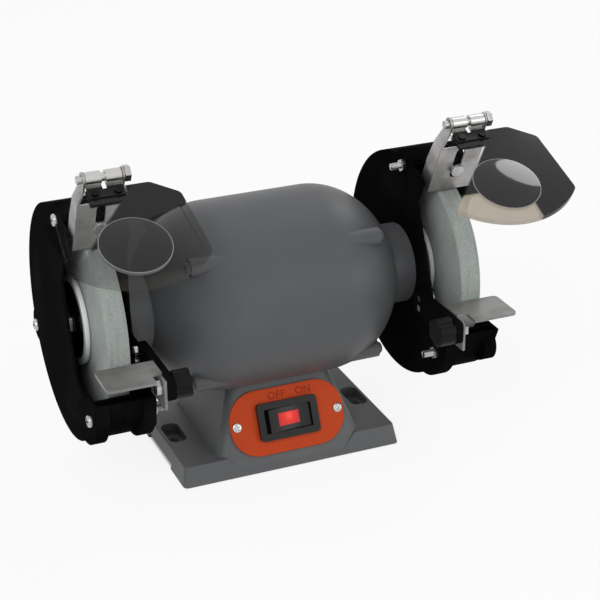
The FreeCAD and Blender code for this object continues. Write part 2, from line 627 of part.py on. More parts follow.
def build_motor():
    bore = "motor_radius - shell_wall"
    tube = ring("shell_tube", "motor_radius", bore, "-shell_half", "shell_half")
    lugs, lug_holes, boss_rows, screws = [], [], [], []
    for index in range(4):
        spot = around("boss_circle", f"boss_angle + {90 * index}")
        for across in (-1, 1):
            tag = f"{'left' if across < 0 else 'right'}_{index}"
            low = "-shell_half" if across < 0 else "shell_half - lug_length"
            lug = cylinder("shell_lug_" + tag, "boss_radius", "lug_length", (low,) + spot)
            inside = cylinder("shell_lug_space_" + tag, bore + " + shell_wall / 2", "lug_length",
                              (low, "0", "axis_height"))
            lugs.append(common("shell_lug_trim_" + tag, lug, inside))
            lug_holes.append(cylinder("shell_lug_hole_" + tag, "tie_screw_radius + press_clearance",
                                      "lug_length",
                                      (low,) + spot))
        boss_rows.append((index, spot))
    tools = lug_holes + [cylinder("shell_wire_hole", "wire_hole_radius", "motor_radius",
                                  ("0", "0", "axis_height - motor_radius - running_gap"), "z")]
    for across in (-1, 1):
        tools.append(cylinder("shell_base_hole_left" if across < 0 else "shell_base_hole_right",
                              "base_screw_radius + press_clearance", "shell_wall * 4",
                              (f"{across} * base_screw_at", "0", "axis_height - motor_radius - shell_wall"),
                              "z"))
    node(cut("motor_shell", fuse("shell_solid", [tube] + lugs), tools), "motor_shell")

    shaft_line = ("shell_half", "0", "axis_height")
    dome_span = "guard_inboard - shell_half"
    egg = primitive("Ellipsoid", "dome_outside",
                    {"Radius1": "dome_length", "Radius2": "motor_radius", "Radius3": "motor_radius"},
                    shaft_line, "x")
    inner_egg = primitive("Ellipsoid", "dome_inside",
                          {"Radius1": "dome_length - bell_wall", "Radius2": "motor_radius - bell_wall",
                           "Radius3": "motor_radius - bell_wall"}, shaft_line, "x")
    dome = common("dome_half", egg, cylinder("dome_space", "motor_radius * 2", dome_span, shaft_line))
    neck_length = "guard_inboard - hub_start"
    neck_line = ("hub_start", "0", "axis_height")
    shell = cut("dome_shell", dome, [inner_egg])
    neck = cylinder("neck_solid", "neck_radius", neck_length, neck_line)
    bosses, holes = [], []
    for index, spot in boss_rows:
        bosses.append(cylinder(f"bell_boss_{index}", "boss_radius", "boss_end - shell_half",
                               ("shell_half",) + spot))
        holes.append(cylinder(f"bell_boss_hole_{index}", "tie_screw_radius + press_clearance",
                              "boss_end - shell_half", ("shell_half",) + spot))
        start = "shell_half - tie_screw_grip"
        screws.append(screw(f"tie_screw_{index}", (start,) + spot, "x", "tie_screw_radius",
                            f"boss_end - ({start})",
                            "tie_head_radius", "tie_head_height", head_first=False))
    holes.append(cylinder("bearing_seat", "bearing_outer_radius",
                          "bearing_start + bearing_width - hub_start", neck_line))
    holes.append(cylinder("neck_bore", "neck_bore_radius", neck_length, neck_line))
    for index in range(3):
        spot = around("seat_screw_circle", f"screw_angle + {120 * index}")
        holes.append(cylinder(f"seat_hole_{index}", "seat_screw_radius + press_clearance",
                              "seat_screw_depth",
                              ("guard_inboard - seat_screw_depth",) + spot))
    both("end_bell", cut("end_bell_right", fuse("end_bell_solid", [shell, neck] + bosses), holes))
    right_row = group("tie_screws_right", screws)
    node(group("end_bell_screws", [right_row, mirrored("tie_screws_left", right_row)]), "end_bell_screws")

    roof = "axis_height - motor_radius - saddle_wall"
    anchors = []
    for across in (-1, 1):
        anchors.append(screw("base_screw_left" if across < 0 else "base_screw_right",
                             (f"{across} * base_screw_at", "0", roof), "z", "base_screw_radius",
                             "saddle_wall + shell_wall * 2", "base_head_radius", "base_head_height"))
    node(group("motor_base_screws", anchors), "motor_base_screws")
    node(ring("stator_core", bore, "core_radius + air_gap", "-stack_half", "stack_half"), "stator_core")
    low, high, edge = "core_radius + air_gap + winding_inset", "winding_outer_radius", "winding_chamfer"
    near, far = "stack_half", "stack_half + winding_length"
    coil = on_shaft(spun("winding_right", [(near, low), (f"{far} - {edge}", low), (far, f"{low} + {edge}"),
                                           (far, f"{high} - {edge}"), (f"{far} - {edge}", high),
                                           (near, high)]))
    node(group("stator_windings", [coil, mirrored("winding_left", coil)]), "stator_windings")


def build_rotor():
    inner_face, outer_face = "wheel_near - blotter_thick", "wheel_far + blotter_thick"
    shoulder, nut_face, tip = "shaft_shoulder", "nut_seat", "shaft_tip"
    half = [("shaft_core_radius", "0"), ("shaft_core_radius", "bearing_start"),
            ("bearing_bore_radius", "bearing_start"),
            ("bearing_bore_radius", shoulder), ("arbor_radius", shoulder), ("arbor_radius", tip)]
    outline = [(tip, "0"), (f"-({tip})", "0")]
    outline += [(f"-({station})", radius) for radius, station in reversed(half[1:])]
    outline += [(station, radius) for radius, station in half[1:]]
    node(on_shaft(spun("shaft", outline)), "shaft")
    node(ring("rotor_core", "core_radius", "shaft_core_radius", "-stack_half", "stack_half"), "rotor_core")

    pitch = "(bearing_bore_radius + bearing_outer_radius) / 2"
    land = "ball_radius - groove_depth"
    far = "bearing_start + bearing_width"
    middle = "bearing_start + bearing_width / 2"
    races = {"outer": ring("outer_race_blank", "bearing_outer_radius", f"{pitch} + {land}", "bearing_start",
                           far),
             "inner": ring("inner_race_blank", f"{pitch} - ({land})", "bearing_bore_radius",
                           "bearing_start", far)}
    for kind, blank in races.items():
        groove = primitive("Torus", kind + "_groove",
                           {"Radius1": pitch, "Radius2": "ball_radius + ball_clearance"},
                           (middle, "0", "axis_height"), "x")
        race = cut(kind + "_race_right", blank, [groove])
        label = f"bearing_{kind}_races"
        node(group(label, [race, mirrored(kind + "_race_left", race)]), label)
    balls = []
    for index in range(round(amount_of("ball_count"))):
        spot = around(pitch, f"{index} * 360 / ball_count")
        balls.append(primitive("Sphere", f"ball_{index}", {"Radius": "ball_radius"}, (middle,) + spot, "x"))
    row = group("ball_row_right", balls)
    node(group("bearing_balls", [row, mirrored("ball_row_left", row)]), "bearing_balls")

    bore = "arbor_radius + press_clearance"
    near, out, rim = "wheel_near", "wheel_far", "wheel_radius - wheel_chamfer"
    wheel = spun("grinding_wheel_right", [(near, bore), (out, bore), (out, rim),
                                          (f"{out} - wheel_chamfer", "wheel_radius"),
                                          (f"{near} + wheel_chamfer", "wheel_radius"), (near, rim)])
    both("grinding_wheel", on_shaft(wheel))
    papers = [ring("blotter_inner", "blotter_radius", bore, inner_face, near),
              ring("blotter_outer", "blotter_radius", bore, out, outer_face)]
    papers += [mirrored(paper.Name + "_left", paper) for paper in papers]
    node(group("wheel_blotters", papers), "wheel_blotters")

    # Each flange bears on the wheel with its outer land only and is dished on its other side.
    for kind, seat, way in (("inner", inner_face, -1), ("outer", outer_face, 1)):
        def station(depth):
            return f"{seat} + ({way}) * ({depth})"
        inside = "flange_radius - flange_land"
        profile = [(station("flange_relief"), bore), (station("flange_relief"), inside), (seat, inside),
                   (seat, "flange_radius"), (station("flange_thick - flange_dish"), "flange_radius"),
                   (station("flange_thick - flange_dish"), "flange_hub_radius + flange_dish"),
                   (station("flange_thick"), "flange_hub_radius"), (station("flange_thick"), bore)]
        flange = on_shaft(spun(f"flange_{kind}_right", profile))
        label = f"wheel_flanges_{kind}"
        node(group(label, [flange, mirrored(f"flange_{kind}_left", flange)]), label)
    nut = cut("wheel_nut_right", hexagon("wheel_nut_blank", "nut_radius", "nut_height",
                                         (nut_face, "0", "axis_height")),
              [cylinder("wheel_nut_bore", bore, "nut_height", (nut_face, "0", "axis_height"))])
    node(group("wheel_nuts", [nut, mirrored("wheel_nut_left", nut)]), "wheel_nuts")


def guard_spots():
    return [around("screw_circle", f"screw_angle + {120 * index}") for index in range(3)]


def front_slab(name, stop_angle, top_radius, foot, sill="axis_height - opening_sill"):
    # Everything in front of the wheel, above the sill and below the stop angle.
    reach = "3 * guard_radius"
    top = around(top_radius, stop_angle)
    far = around(reach, stop_angle)
    corners = [(f"-({foot})", sill), (f"-({reach})", sill), (f"-({reach})", far[1]), far, top]
    return extruded(name, "YZ_Plane", corners, "cover_face", "guard_inboard / 2")


def plate_opening(name, kind, sill="axis_height - opening_sill"):
    # A flat plate is cut back to a straight edge that turns into the sill with a round.
    slab = front_slab(name, "bracket_angle", kind + "_top", kind + "_foot", sill)
    foot, level = -amount_of(kind + "_foot"), amount_of(sill)
    return round_edges(slab, kind + "_round", lambda edge: runs_along(edge, turn_x)
                       and math.hypot(edge.Vertexes[0].Y - foot, edge.Vertexes[0].Z - level) < same_spot)


def rim_opening(name, stop_angle):
    return front_slab(name, stop_angle, "0", "0")


def lobed_disc(name, span, lobe_span):
    length = f"({span[1]}) - ({span[0]})"
    lobe = f"({lobe_span[1]}) - ({lobe_span[0]})"
    pieces = [cylinder(name + "_disc", "guard_radius", length, (span[0], "0", "axis_height"))]
    for index, spot in enumerate(guard_spots()):
        pieces.append(cylinder(f"{name}_lobe_{index}", "lobe_radius", lobe, (lobe_span[0],) + spot))
    return fuse(name, pieces)


def guard_pan(name, kind, plate_span, lip_span, space_span, lobe_span):
    plate = cut(name + "_plate", lobed_disc(name + "_face", plate_span, plate_span),
                [plate_opening(name + "_front", kind)])
    space = cylinder(name + "_space", "guard_radius - guard_plate",
                     f"({space_span[1]}) - ({space_span[0]})",
                     (space_span[0], "0", "axis_height"))
    lip = cut(name + "_lip", lobed_disc(name + "_side", lip_span, lobe_span),
              [rim_opening(name + "_stop", "rim_stop_angle"), space])
    return [plate, lip]


def build_guards():
    near, plate = "guard_inboard", "guard_inboard + guard_plate"
    inner = guard_pan("inner_pan", "opening", (near, plate), (near, "pan_end"), (plate, "pan_end"),
                      (near, f"{near} + lobe_depth"))
    band_inner = "band_radius - guard_plate"
    band = cut("rim_band", ring("rim_tube", "band_radius", band_inner, plate,
                                "cover_face - guard_plate - slide_gap"),
               [rim_opening("rim_front", "rim_stop_angle")])
    tongue = cut("rim_tongue", ring("tongue_tube", "band_radius", band_inner, "wheel_offset - tab_half",
                                    "wheel_offset + tab_half"),
                 [rim_opening("tongue_front", "bracket_angle")])
    tab = box("rim_tab", (("-tab_half", "tab_half"), ("slide_gap", "slide_gap + tab_thick"),
                          (band_inner, "tab_top")))
    tab = on_bracket(group("rim_tab_leaning", [tab]))
    solid = fuse("guard_inner_solid", inner + [band, tongue, tab])
    holes = [cylinder("guard_centre_hole", "guard_hole_radius", "guard_plate", (near, "0", "axis_height"))]
    cover_holes, screws, nuts, seats = [], [], [], []
    hole = "guard_screw_radius + press_clearance"
    for index, spot in enumerate(guard_spots()):
        holes.append(cylinder(f"guard_screw_hole_{index}", hole, "pan_end - guard_inboard",
                              (near,) + spot))
        cover_holes.append(cylinder(f"cover_screw_hole_{index}", hole, "cover_face - cover_start",
                                    ("cover_start",) + spot))
        start = f"{near} - guard_nut_height - guard_screw_tail"
        screws.append(screw(f"guard_screw_{index}", (start,) + spot, "x", "guard_screw_radius",
                            f"cover_face - ({start})", "guard_head_radius", "guard_head_height",
                            head_first=False))
        blank = hexagon(f"guard_nut_blank_{index}", "guard_nut_radius", "guard_nut_height",
                        (f"{near} - guard_nut_height",) + spot)
        thread = cylinder(f"guard_nut_thread_{index}", hole, "guard_nut_height",
                          (f"{near} - guard_nut_height",) + spot)
        nuts.append(cut(f"guard_nut_{index}", blank, [thread]))
        seat = around("seat_screw_circle", f"screw_angle + {120 * index}")
        holes.append(cylinder(f"guard_seat_hole_{index}", "seat_screw_radius + press_clearance",
                              "guard_plate", (near,) + seat))
        seats.append(screw(f"seat_screw_{index}", (f"{near} - seat_screw_depth",) + seat, "x",
                           "seat_screw_radius",
                           "seat_screw_depth + guard_plate", "seat_head_radius", "seat_head_height",
                           head_first=False))
    for spot in arm_screw_spots():
        holes.append(cylinder("guard_arm_hole", "arm_screw_radius + press_clearance", "guard_plate",
                              (near,) + spot))
    tab_hole = cylinder("tab_hole", "bracket_screw_radius + press_clearance", "tab_thick",
                        ("0", "slide_gap", "bracket_screw_at"), "y")
    holes.append(on_bracket(group("tab_hole_leaning", [tab_hole])))
    right = node(cut("guard_inner_right", solid, holes), "guard_inner_right")
    # The left plate is cut back further above the arm of the tool rest.
    trim = plate_opening("inner_trim", "trim", "axis_height - rest_drop - clamp_drop + arm_half + trim_lift")
    left = cut("guard_inner_left", mirrored("guard_inner_copy", right), [mirrored("inner_trim_left", trim)])
    node(left, "guard_inner_left")

    cover = guard_pan("cover_pan", "cover", ("cover_face - guard_plate", "cover_face"),
                      ("cover_start", "cover_face"), ("cover_start", "cover_face - guard_plate"),
                      ("cover_face - lobe_depth", "cover_face"))
    bulge = cone("cover_bulge_cone", "bulge_radius", "bulge_radius - bulge_slope", "cover_bulge",
                 ("cover_face", "0", "axis_height"))
    bulge = cut("cover_bulge_trim", bulge, [plate_opening("bulge_front", "cover")])
    hollow = cone("cover_bulge_hollow", "bulge_radius - guard_plate",
                  "bulge_radius - bulge_slope - guard_plate",
                  "cover_bulge", ("cover_face - guard_plate", "0", "axis_height"))
    both("guard_cover", cut("guard_cover_right", fuse("guard_cover_solid", cover + [bulge]),
                            cover_holes + [hollow]))
    for label, pieces in (("guard_screws", screws), ("guard_nuts", nuts), ("guard_seat_screws", seats)):
        row = group(label + "_row", pieces)
        node(group(label, [row, mirrored(label + "_row_left", row)]), label)


def build_brackets():
    web = box("bracket_web", (("-web_half", "web_half"), ("-bracket_sheet", "0"), ("web_low", "web_top")))
    skin = "bracket_sheet"
    back = "side_depth - bracket_sheet"
    ear_back = "hinge_setback + ear_radius"
    silhouette = [("-bracket_sheet", "web_low"), (back, "web_low"), (back, "web_low + web_height / 2"),
                  (ear_back, "leg_top"), (ear_back, "hinge_radius"), ("-bracket_sheet", "hinge_radius")]
    profile = extruded("bracket_profile", "YZ_Plane", silhouette, "4 * web_half", "-2 * web_half")
    ear = cylinder("bracket_ear", "ear_radius", "4 * web_half",
                   ("-2 * web_half", "hinge_setback", "hinge_radius"))
    outside = fuse("bracket_outside", [profile, ear])
    sides = []
    for across in (-1, 1):
        outer = [("web_half", "web_low"), ("web_half", "web_top"), ("leg_half", "leg_top"),
                 ("leg_half", "hinge_radius + ear_radius")]
        inner = [(f"{wide} - {skin}", high) for wide, high in reversed(outer)]
        corners = [(f"{across} * ({wide})", high) for wide, high in outer + inner]
        tag = "left" if across < 0 else "right"
        slab = extruded("bracket_side_" + tag, "XZ_Plane", corners, "side_depth", "bracket_sheet",
                        backward=True)
        sides.append(common("bracket_flank_" + tag, slab, outside))
    slot_half = "bracket_screw_radius + slot_clearance"
    slot_low = "bracket_screw_at - bracket_travel_out"
    slot_high = "bracket_screw_at + slot_wear"
    slot = [box("bracket_slot", ((f"-({slot_half})", slot_half), ("-2 * bracket_sheet", "bracket_sheet"),
                                 (slot_low, slot_high)))]
    for tag, end in (("low", slot_low), ("high", slot_high)):
        slot.append(cylinder("bracket_slot_" + tag, slot_half, "3 * bracket_sheet",
                             ("0", "-2 * bracket_sheet", end), "y"))
    pin = cylinder("bracket_pin_hole", "hinge_bolt_radius + press_clearance", "4 * web_half",
                   ("-2 * web_half", "hinge_setback", "hinge_radius"))
    both("spark_bracket", on_bracket(cut("spark_bracket_right", fuse("bracket_solid", [web] + sides),
                                         slot + [pin])))

    head_at = "leg_half + running_gap"
    shank = cylinder("hinge_shank", "hinge_bolt_radius", "2 * leg_half + hinge_bolt_tail + running_gap",
                     ("-leg_half - hinge_bolt_tail", "hinge_setback", "hinge_radius"))
    head = hexagon("hinge_head", "hinge_head_radius", "hinge_head_height",
                   (head_at, "hinge_setback", "hinge_radius"))
    both("shield_bolt", on_bracket(fuse("shield_bolt_right", [shank, head])), shifted)

    pieces = [cylinder("bracket_screw_head", "bracket_head_radius", "bracket_head_height",
                       ("0", "-bracket_sheet - slide_gap - bracket_head_height", "bracket_screw_at"), "y"),
              cylinder("bracket_screw_shank", "bracket_screw_radius",
                       "bracket_sheet + 2 * slide_gap + tab_thick + bracket_nut_height",
                       ("0", "-bracket_sheet - slide_gap", "bracket_screw_at"), "y")]
    nut = hexagon("bracket_nut_blank", "bracket_nut_radius", "bracket_nut_height",
                  ("0", "slide_gap + tab_thick", "bracket_screw_at"), "y")
    screw_right = on_bracket(fuse("bracket_screw_right", pieces + [nut]))
    node(group("bracket_screws", [screw_right, mirrored("bracket_screw_left", screw_right)]),
         "bracket_screws")


def shield_outline(inset):
    # The shield stands to the right of its bracket by the same shift at both ends.
    rows = [(f"shield_hinge_half - {inset}", f"shield_back + {inset}"),
            (f"shoulder_half - {inset}", f"shoulder_at + {inset} / 2"),
            (f"front_half - {inset}", f"front_at - {inset} / 2")]
    left = [(f"shield_shift - ({half})", f"-({along})") for half, along in rows]
    right = [(f"shield_shift + {half}", f"-({along})") for half, along in reversed(rows)]
    return left + right


def build_shields():
    sagitta = "(apex_at - front_at)"
    bow = (2, sagitta, f"(front_half ^ 2 + {sagitta} ^ 2) / (2 * {sagitta})")
    inset = "border_width"
    inner_sagitta = f"({sagitta} - {inset} / 2)"
    inner_bow = (2, inner_sagitta,
                 f"((front_half - {inset}) ^ 2 + {inner_sagitta} ^ 2) / (2 * {inner_sagitta})")
    under, top = "plate_under", "-knuckle_radius"
    upright = FreeCAD.Vector(0, 0, 1)
    slab = extruded("shield_slab", "XY_Plane", shield_outline("0"), "shield_thick + border_height",
                    f"{under} - border_height", bow=bow)
    round_edges(slab, "shield_corner", lambda edge: runs_along(edge, upright))
    hollow = extruded("shield_hollow", "XY_Plane", shield_outline(inset), "border_height",
                      f"{under} - border_height",
                      bow=inner_bow)
    lens_hole = cylinder("lens_hole", "lens_radius + press_clearance", "shield_thick + border_height",
                         ("shield_shift", "-lens_at", f"{under} - border_height"), "z")
    holes = [hollow, lens_hole]
    clips, screws = [], []
    inner_end, outer_end = "knuckle_gap", "leg_half - bracket_sheet - knuckle_play"
    tops = (top, f"{top} + clip_sheet")
    for across in (-1, 1):
        tag = "left" if across < 0 else "right"
        low, high = (inner_end, outer_end) if across > 0 else (f"-({outer_end})", f"-({inner_end})")
        clips.append(cylinder("knuckle_" + tag, "knuckle_radius", f"({high}) - ({low})", (low, "0", "0")))
        clips.append(box("clip_strap_" + tag, ((low, high), ("-clip_reach", "0"), tops)))
        at = (f"{across} * clip_screw_spread", "-clip_screw_at", under)
        holes.append(cylinder("shield_screw_hole_" + tag, "clip_screw_radius + press_clearance",
                              "shield_thick", at, "z"))
        screws.append(screw("clip_screw_" + tag, at, "z", "clip_screw_radius", "shield_thick + clip_sheet",
                            "clip_head_radius", "clip_head_height", head_first=False))
    clips.append(box("clip_bridge_strip", ((f"-({outer_end})", outer_end),
                                           ("-clip_reach", "-clip_reach + clip_bridge"), tops)))
    pin = cylinder("clip_pin_hole", "hinge_bolt_radius + hinge_fit", "4 * leg_half",
                   ("-2 * leg_half", "0", "0"))
    clip_holes = [cylinder(f"clip_screw_hole_{index}", "clip_screw_radius + press_clearance",
                           "2 * clip_sheet + shield_thick",
                           (f"{across} * clip_screw_spread", "-clip_screw_at", under), "z")
                  for index, across in enumerate((-1, 1))]
    both("eye_shield", on_hinge(cut("eye_shield_right", slab, holes)), shifted)
    clip = cut("shield_clip_right", fuse("clip_solid", clips), [pin] + clip_holes)
    both("shield_clip", on_hinge(clip), shifted)
    both("shield_screws", on_hinge(group("shield_screws_right", screws)), shifted)
    # A plano-convex lens: a thin disc whose upper face is part of a large sphere.
    ball = "((lens_radius ^ 2 + lens_crown ^ 2) / (2 * lens_crown))"
    dome = primitive("Sphere", "lens_ball", {"Radius": ball},
                     ("shield_shift", "-lens_at", f"{top} + lens_crown - {ball}"), "z")
    disc = cylinder("lens_disc", "lens_radius", "shield_thick + lens_crown",
                    ("shield_shift", "-lens_at", under), "z")
    both("magnifier", on_hinge(common("magnifier_right", disc, dome)), shifted)


def arm_screw_spots():
    level = "axis_height - rest_drop - clamp_drop"
    return [("-arm_screw_at", f"{level} + {way} * arm_screw_spread / 2") for way in (-1, 1)]


def build_rests():
    top = "axis_height - rest_drop"
    back = "-(wheel_radius + rest_gap)"
    front = f"({back} - rest_depth)"
    near = "guard_inboard + slide_gap"
    flange_out = f"{near} + rest_thick"
    corners = [(near, f"{top} - rest_flange"), (flange_out, f"{top} - rest_flange"),
               (flange_out, f"{top} - rest_thick"),
               ("wheel_offset + rest_outboard", f"{top} - rest_thick"),
               ("wheel_offset + rest_outboard", top), (near, top)]
    ell = extruded("rest_ell", "XZ_Plane", corners, "rest_depth", "wheel_radius + rest_gap")
    upright = FreeCAD.Vector(0, 0, 1)
    outboard = amount_of("wheel_offset + rest_outboard") - same_spot
    round_edges(ell, "rest_corner", lambda edge: runs_along(edge, upright)
                and edge.Vertexes[0].X > outboard)
    clamp_y, clamp_z = f"({back} - clamp_setback)", f"({top} - clamp_drop)"
    slot_half = "clamp_radius + slot_clearance"
    slot_span = (f"{clamp_y} - rest_travel_in", f"{clamp_y} + rest_travel")
    tools = [box("rest_notch", ((near, f"{near} + notch_width"), (front, f"{front} + notch_length"),
                                (f"{top} - rest_thick - slot_clearance", top))),
             box("rest_flange_front", ((near, flange_out), (front, f"{front} + flange_setback"),
                                       (f"{top} - rest_flange", top))),
             box("rest_slot", ((near, flange_out), slot_span,
                               (f"{clamp_z} - ({slot_half})", f"{clamp_z} + {slot_half}")))]
    for tag, end in zip(("front", "back"), slot_span):
        tools.append(cylinder("rest_slot_" + tag, slot_half, "rest_thick", (near, end, clamp_z)))
    both("tool_rest", cut("tool_rest_right", ell, tools))

    arm_face = "guard_inboard - arm_thick"
    low, high, nose = f"{clamp_z} - arm_half", f"{clamp_z} + arm_half", f"{clamp_y} - arm_nose"
    shape = [("-arm_root", low), ("-arm_root", high), (nose, high), (nose, low)]
    arm = extruded("arm_plate", "YZ_Plane", shape, "arm_thick", arm_face)
    round_edges(arm, "arm_half / 2", lambda edge: runs_along(edge, turn_x))
    holes = [cylinder("arm_clamp_hole", "clamp_radius + press_clearance", "arm_thick",
                      (arm_face, clamp_y, clamp_z))]
    arm_screws = []
    for index, spot in enumerate(arm_screw_spots()):
        holes.append(cylinder(f"arm_hole_{index}", "arm_screw_radius + press_clearance", "arm_thick",
                              (arm_face,) + spot))
        arm_screws.append(screw(f"arm_screw_{index}", (arm_face,) + spot, "x", "arm_screw_radius",
                                "arm_thick + guard_plate", "arm_head_radius", "arm_head_height",
                                head_first=False))
    both("rest_arm", cut("rest_arm_right", arm, holes))
    row = group("arm_screw_row", arm_screws)
    node(group("rest_arm_screws", [row, mirrored("arm_screw_row_left", row)]), "rest_arm_screws")

    head_at = f"{flange_out} + slide_gap"
    tail = f"{arm_face} - clamp_tail"
    bolt = fuse("rest_bolt_right", [cylinder("clamp_shank", "clamp_radius", f"{head_at} - ({tail})",
                                             (tail, clamp_y, clamp_z)),
                                    hexagon("clamp_head", "clamp_head_radius", "clamp_head_height",
                                            (head_at, clamp_y, clamp_z))])
    node(group("rest_bolts", [bolt, mirrored("rest_bolt_left", bolt)]), "rest_bolts")
    knob_start = f"{arm_face} - slide_gap - knob_length"
    disc = cylinder("knob_disc", "knob_radius", "knob_length", (knob_start, clamp_y, clamp_z))
    tools = [cylinder("knob_thread", "clamp_radius + hinge_fit", "clamp_tail + running_gap",
                      (f"{tail} - running_gap", clamp_y, clamp_z))]
    for index in range(round(amount_of("knob_lobes"))):
        angle = f"{index} * 360 / knob_lobes"
        tools.append(cylinder(f"knob_scallop_{index}", "knob_scallop", "knob_length",
                              (knob_start, f"{clamp_y} + (knob_radius + knob_scallop / 2) * cos({angle})",
                               f"{clamp_z} + (knob_radius + knob_scallop / 2) * sin({angle})")))
    both("rest_knob", cut("rest_knob_right", disc, tools))


def write_parts():
    doc.recompute()
    for item in doc.Objects:
        if "Invalid" in item.State or "Error" in item.State:
            raise RuntimeError(f"{item.Name} failed: {item.State}")
    for item in nodes:
        if item.Shape.isNull() or not item.Shape.isValid() or not item.Shape.Solids:
            raise RuntimeError(f"{item.Label} has no valid solid")
    os.makedirs("parts", exist_ok=True)
    for item in nodes:
        item.Shape.exportStep(f"parts/{item.Label}.step")
    print(len(nodes), "sub-parts written")


build_base()
build_base_fittings()
build_switch()
build_motor()
build_rotor()
build_guards()
build_brackets()
build_shields()
build_rests()
write_parts()
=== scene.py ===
import json
import math
import bmesh
import bpy
from mathutils import Matrix, Vector


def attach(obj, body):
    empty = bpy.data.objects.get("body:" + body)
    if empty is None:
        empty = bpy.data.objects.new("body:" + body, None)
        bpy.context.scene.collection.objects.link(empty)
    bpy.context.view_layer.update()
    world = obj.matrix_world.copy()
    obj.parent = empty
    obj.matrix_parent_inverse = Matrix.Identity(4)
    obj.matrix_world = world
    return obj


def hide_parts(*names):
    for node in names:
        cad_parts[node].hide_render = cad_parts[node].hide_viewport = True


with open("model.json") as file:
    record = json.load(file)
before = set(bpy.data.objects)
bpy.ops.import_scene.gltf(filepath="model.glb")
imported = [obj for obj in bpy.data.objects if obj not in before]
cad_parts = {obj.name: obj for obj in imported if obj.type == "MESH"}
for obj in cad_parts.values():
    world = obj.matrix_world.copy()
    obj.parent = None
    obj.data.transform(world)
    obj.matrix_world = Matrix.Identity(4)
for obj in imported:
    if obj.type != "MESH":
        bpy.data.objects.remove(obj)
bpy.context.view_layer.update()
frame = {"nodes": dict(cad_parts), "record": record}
nodes = frame["nodes"]
mm = 0.001
axisHeight = 125 * mm   # the shaft runs along X at this height
wheelAt = 135.5 * mm    # middle of each wheel along X
sides = {"Left": -1, "Right": 1}
print("frame loaded with", len(nodes), "nodes")


# camera of the photograph
viewpoint = {"azimuth": -21.27, "elevation": 24.33, "roll": -1.04, "distance": 1.26318,
             "aim": (0, 0, 0.12504), "lens": 101.193, "sensor": 36,
             "shift": (0.0618, -0.02388)}


def setCamera(spec):
    a, e, r = (math.radians(spec[key]) for key in ("azimuth", "elevation", "roll"))
    back = Vector((math.sin(a) * math.cos(e), -math.cos(a) * math.cos(e), math.sin(e)))
    right = Vector((math.cos(a), math.sin(a), 0))
    up = back.cross(right)
    across = right * math.cos(r) + up * math.sin(r)
    upward = up * math.cos(r) - right * math.sin(r)
    data = bpy.data.cameras.new("photoCamera")
    data.lens = spec["lens"]
    data.sensor_width = spec["sensor"]
    data.shift_x, data.shift_y = spec["shift"]
    camera = bpy.data.objects.new("photoCamera", data)
    turn = Matrix((across, upward, back)).transposed().to_4x4()
    camera.matrix_world = Matrix.Translation(Vector(spec["aim"]) + back * spec["distance"]) @ turn
    bpy.context.scene.collection.objects.link(camera)
    bpy.context.scene.camera = camera


setCamera(viewpoint)
print("camera set")


class Wire:
    # a socket of a node tree that can stand in Python sums
    def __init__(self, tree, socket=None):
        self.tree, self.socket = tree, socket

    def feed(self, slot, value):
        if isinstance(value, Wire):
            self.tree.links.new(value.socket, slot)
        else:
            slot.default_value = value

    def node(self, kind, settings=None, inputs=None, out=0):
        made = self.tree.nodes.new(kind)
        for key, value in (settings or {}).items():
            setattr(made, key, value)
        for key, value in (inputs or {}).items():
            self.feed(made.inputs[key], value)
        return Wire(self.tree, made.outputs[out] if made.outputs else None)

    def maths(self, operation, *values):
        return self.node("ShaderNodeMath", {"operation": operation}, dict(enumerate(values)))

    def __add__(self, other):
        return self.maths("ADD", self, other)

    def __radd__(self, other):
        return self.maths("ADD", other, self)

    def __sub__(self, other):
        return self.maths("SUBTRACT", self, other)

    def __rsub__(self, other):
        return self.maths("SUBTRACT", other, self)

    def __mul__(self, other):
        return self.maths("MULTIPLY", self, other)

    def __rmul__(self, other):
        return self.maths("MULTIPLY", other, self)

    def __pow__(self, other):
        return self.maths("POWER", self, other)


def newFinish(name):
    material = bpy.data.materials.new(name)
    material.use_nodes = True
    material.node_tree.nodes.clear()
    return material, Wire(material.node_tree)


def place(w):
    return w.node("ShaderNodeTexCoord", out="Object")


def parts(w, vector):
    split = w.node("ShaderNodeSeparateXYZ", None, {0: vector})
    outs = split.socket.node.outputs
    return [Wire(w.tree, outs[index]) for index in range(3)]


def noise(w, scale, detail=3.0, rough=0.5, vector=None):
    values = {"Vector": vector or place(w), "Scale": scale, "Detail": detail, "Roughness": rough}
    return w.node("ShaderNodeTexNoise", None, values, "Fac")


def streaks(w, factors, detail, rough):
    # noise drawn out along the axes with the small factors
    drawn = w.node("ShaderNodeVectorMath", {"operation": "MULTIPLY"}, {0: place(w), 1: factors})
    return noise(w, 1.0, detail, rough, drawn)


def fade(w, value, low, high):
    values = {"Value": value, "From Min": low, "From Max": high}
    return w.node("ShaderNodeMapRange", {"interpolation_type": "SMOOTHSTEP"}, values)


def blendColor(w, factor, first, second):
    settings = {"data_type": "RGBA", "clamp_factor": True}
    return w.node("ShaderNodeMix", settings, {0: factor, 6: first, 7: second}, 2)


def distance(w, spot):
    return w.node("ShaderNodeVectorMath", {"operation": "DISTANCE"}, {0: place(w), 1: spot}, "Value")


def grooved(w, height, strength, depth):
    values = {"Strength": strength, "Distance": depth, "Height": height}
    return w.node("ShaderNodeBump", None, values, "Normal")


def closeFinish(material, w, **sockets):
    named = {key.replace("_", " "): value for key, value in sockets.items()}
    shader = w.node("ShaderNodeBsdfPrincipled", None, named)
    w.node("ShaderNodeOutputMaterial", None, {"Surface": shader})
    return material


def rgb(red, green, blue):
    return (red, green, blue, 1.0)


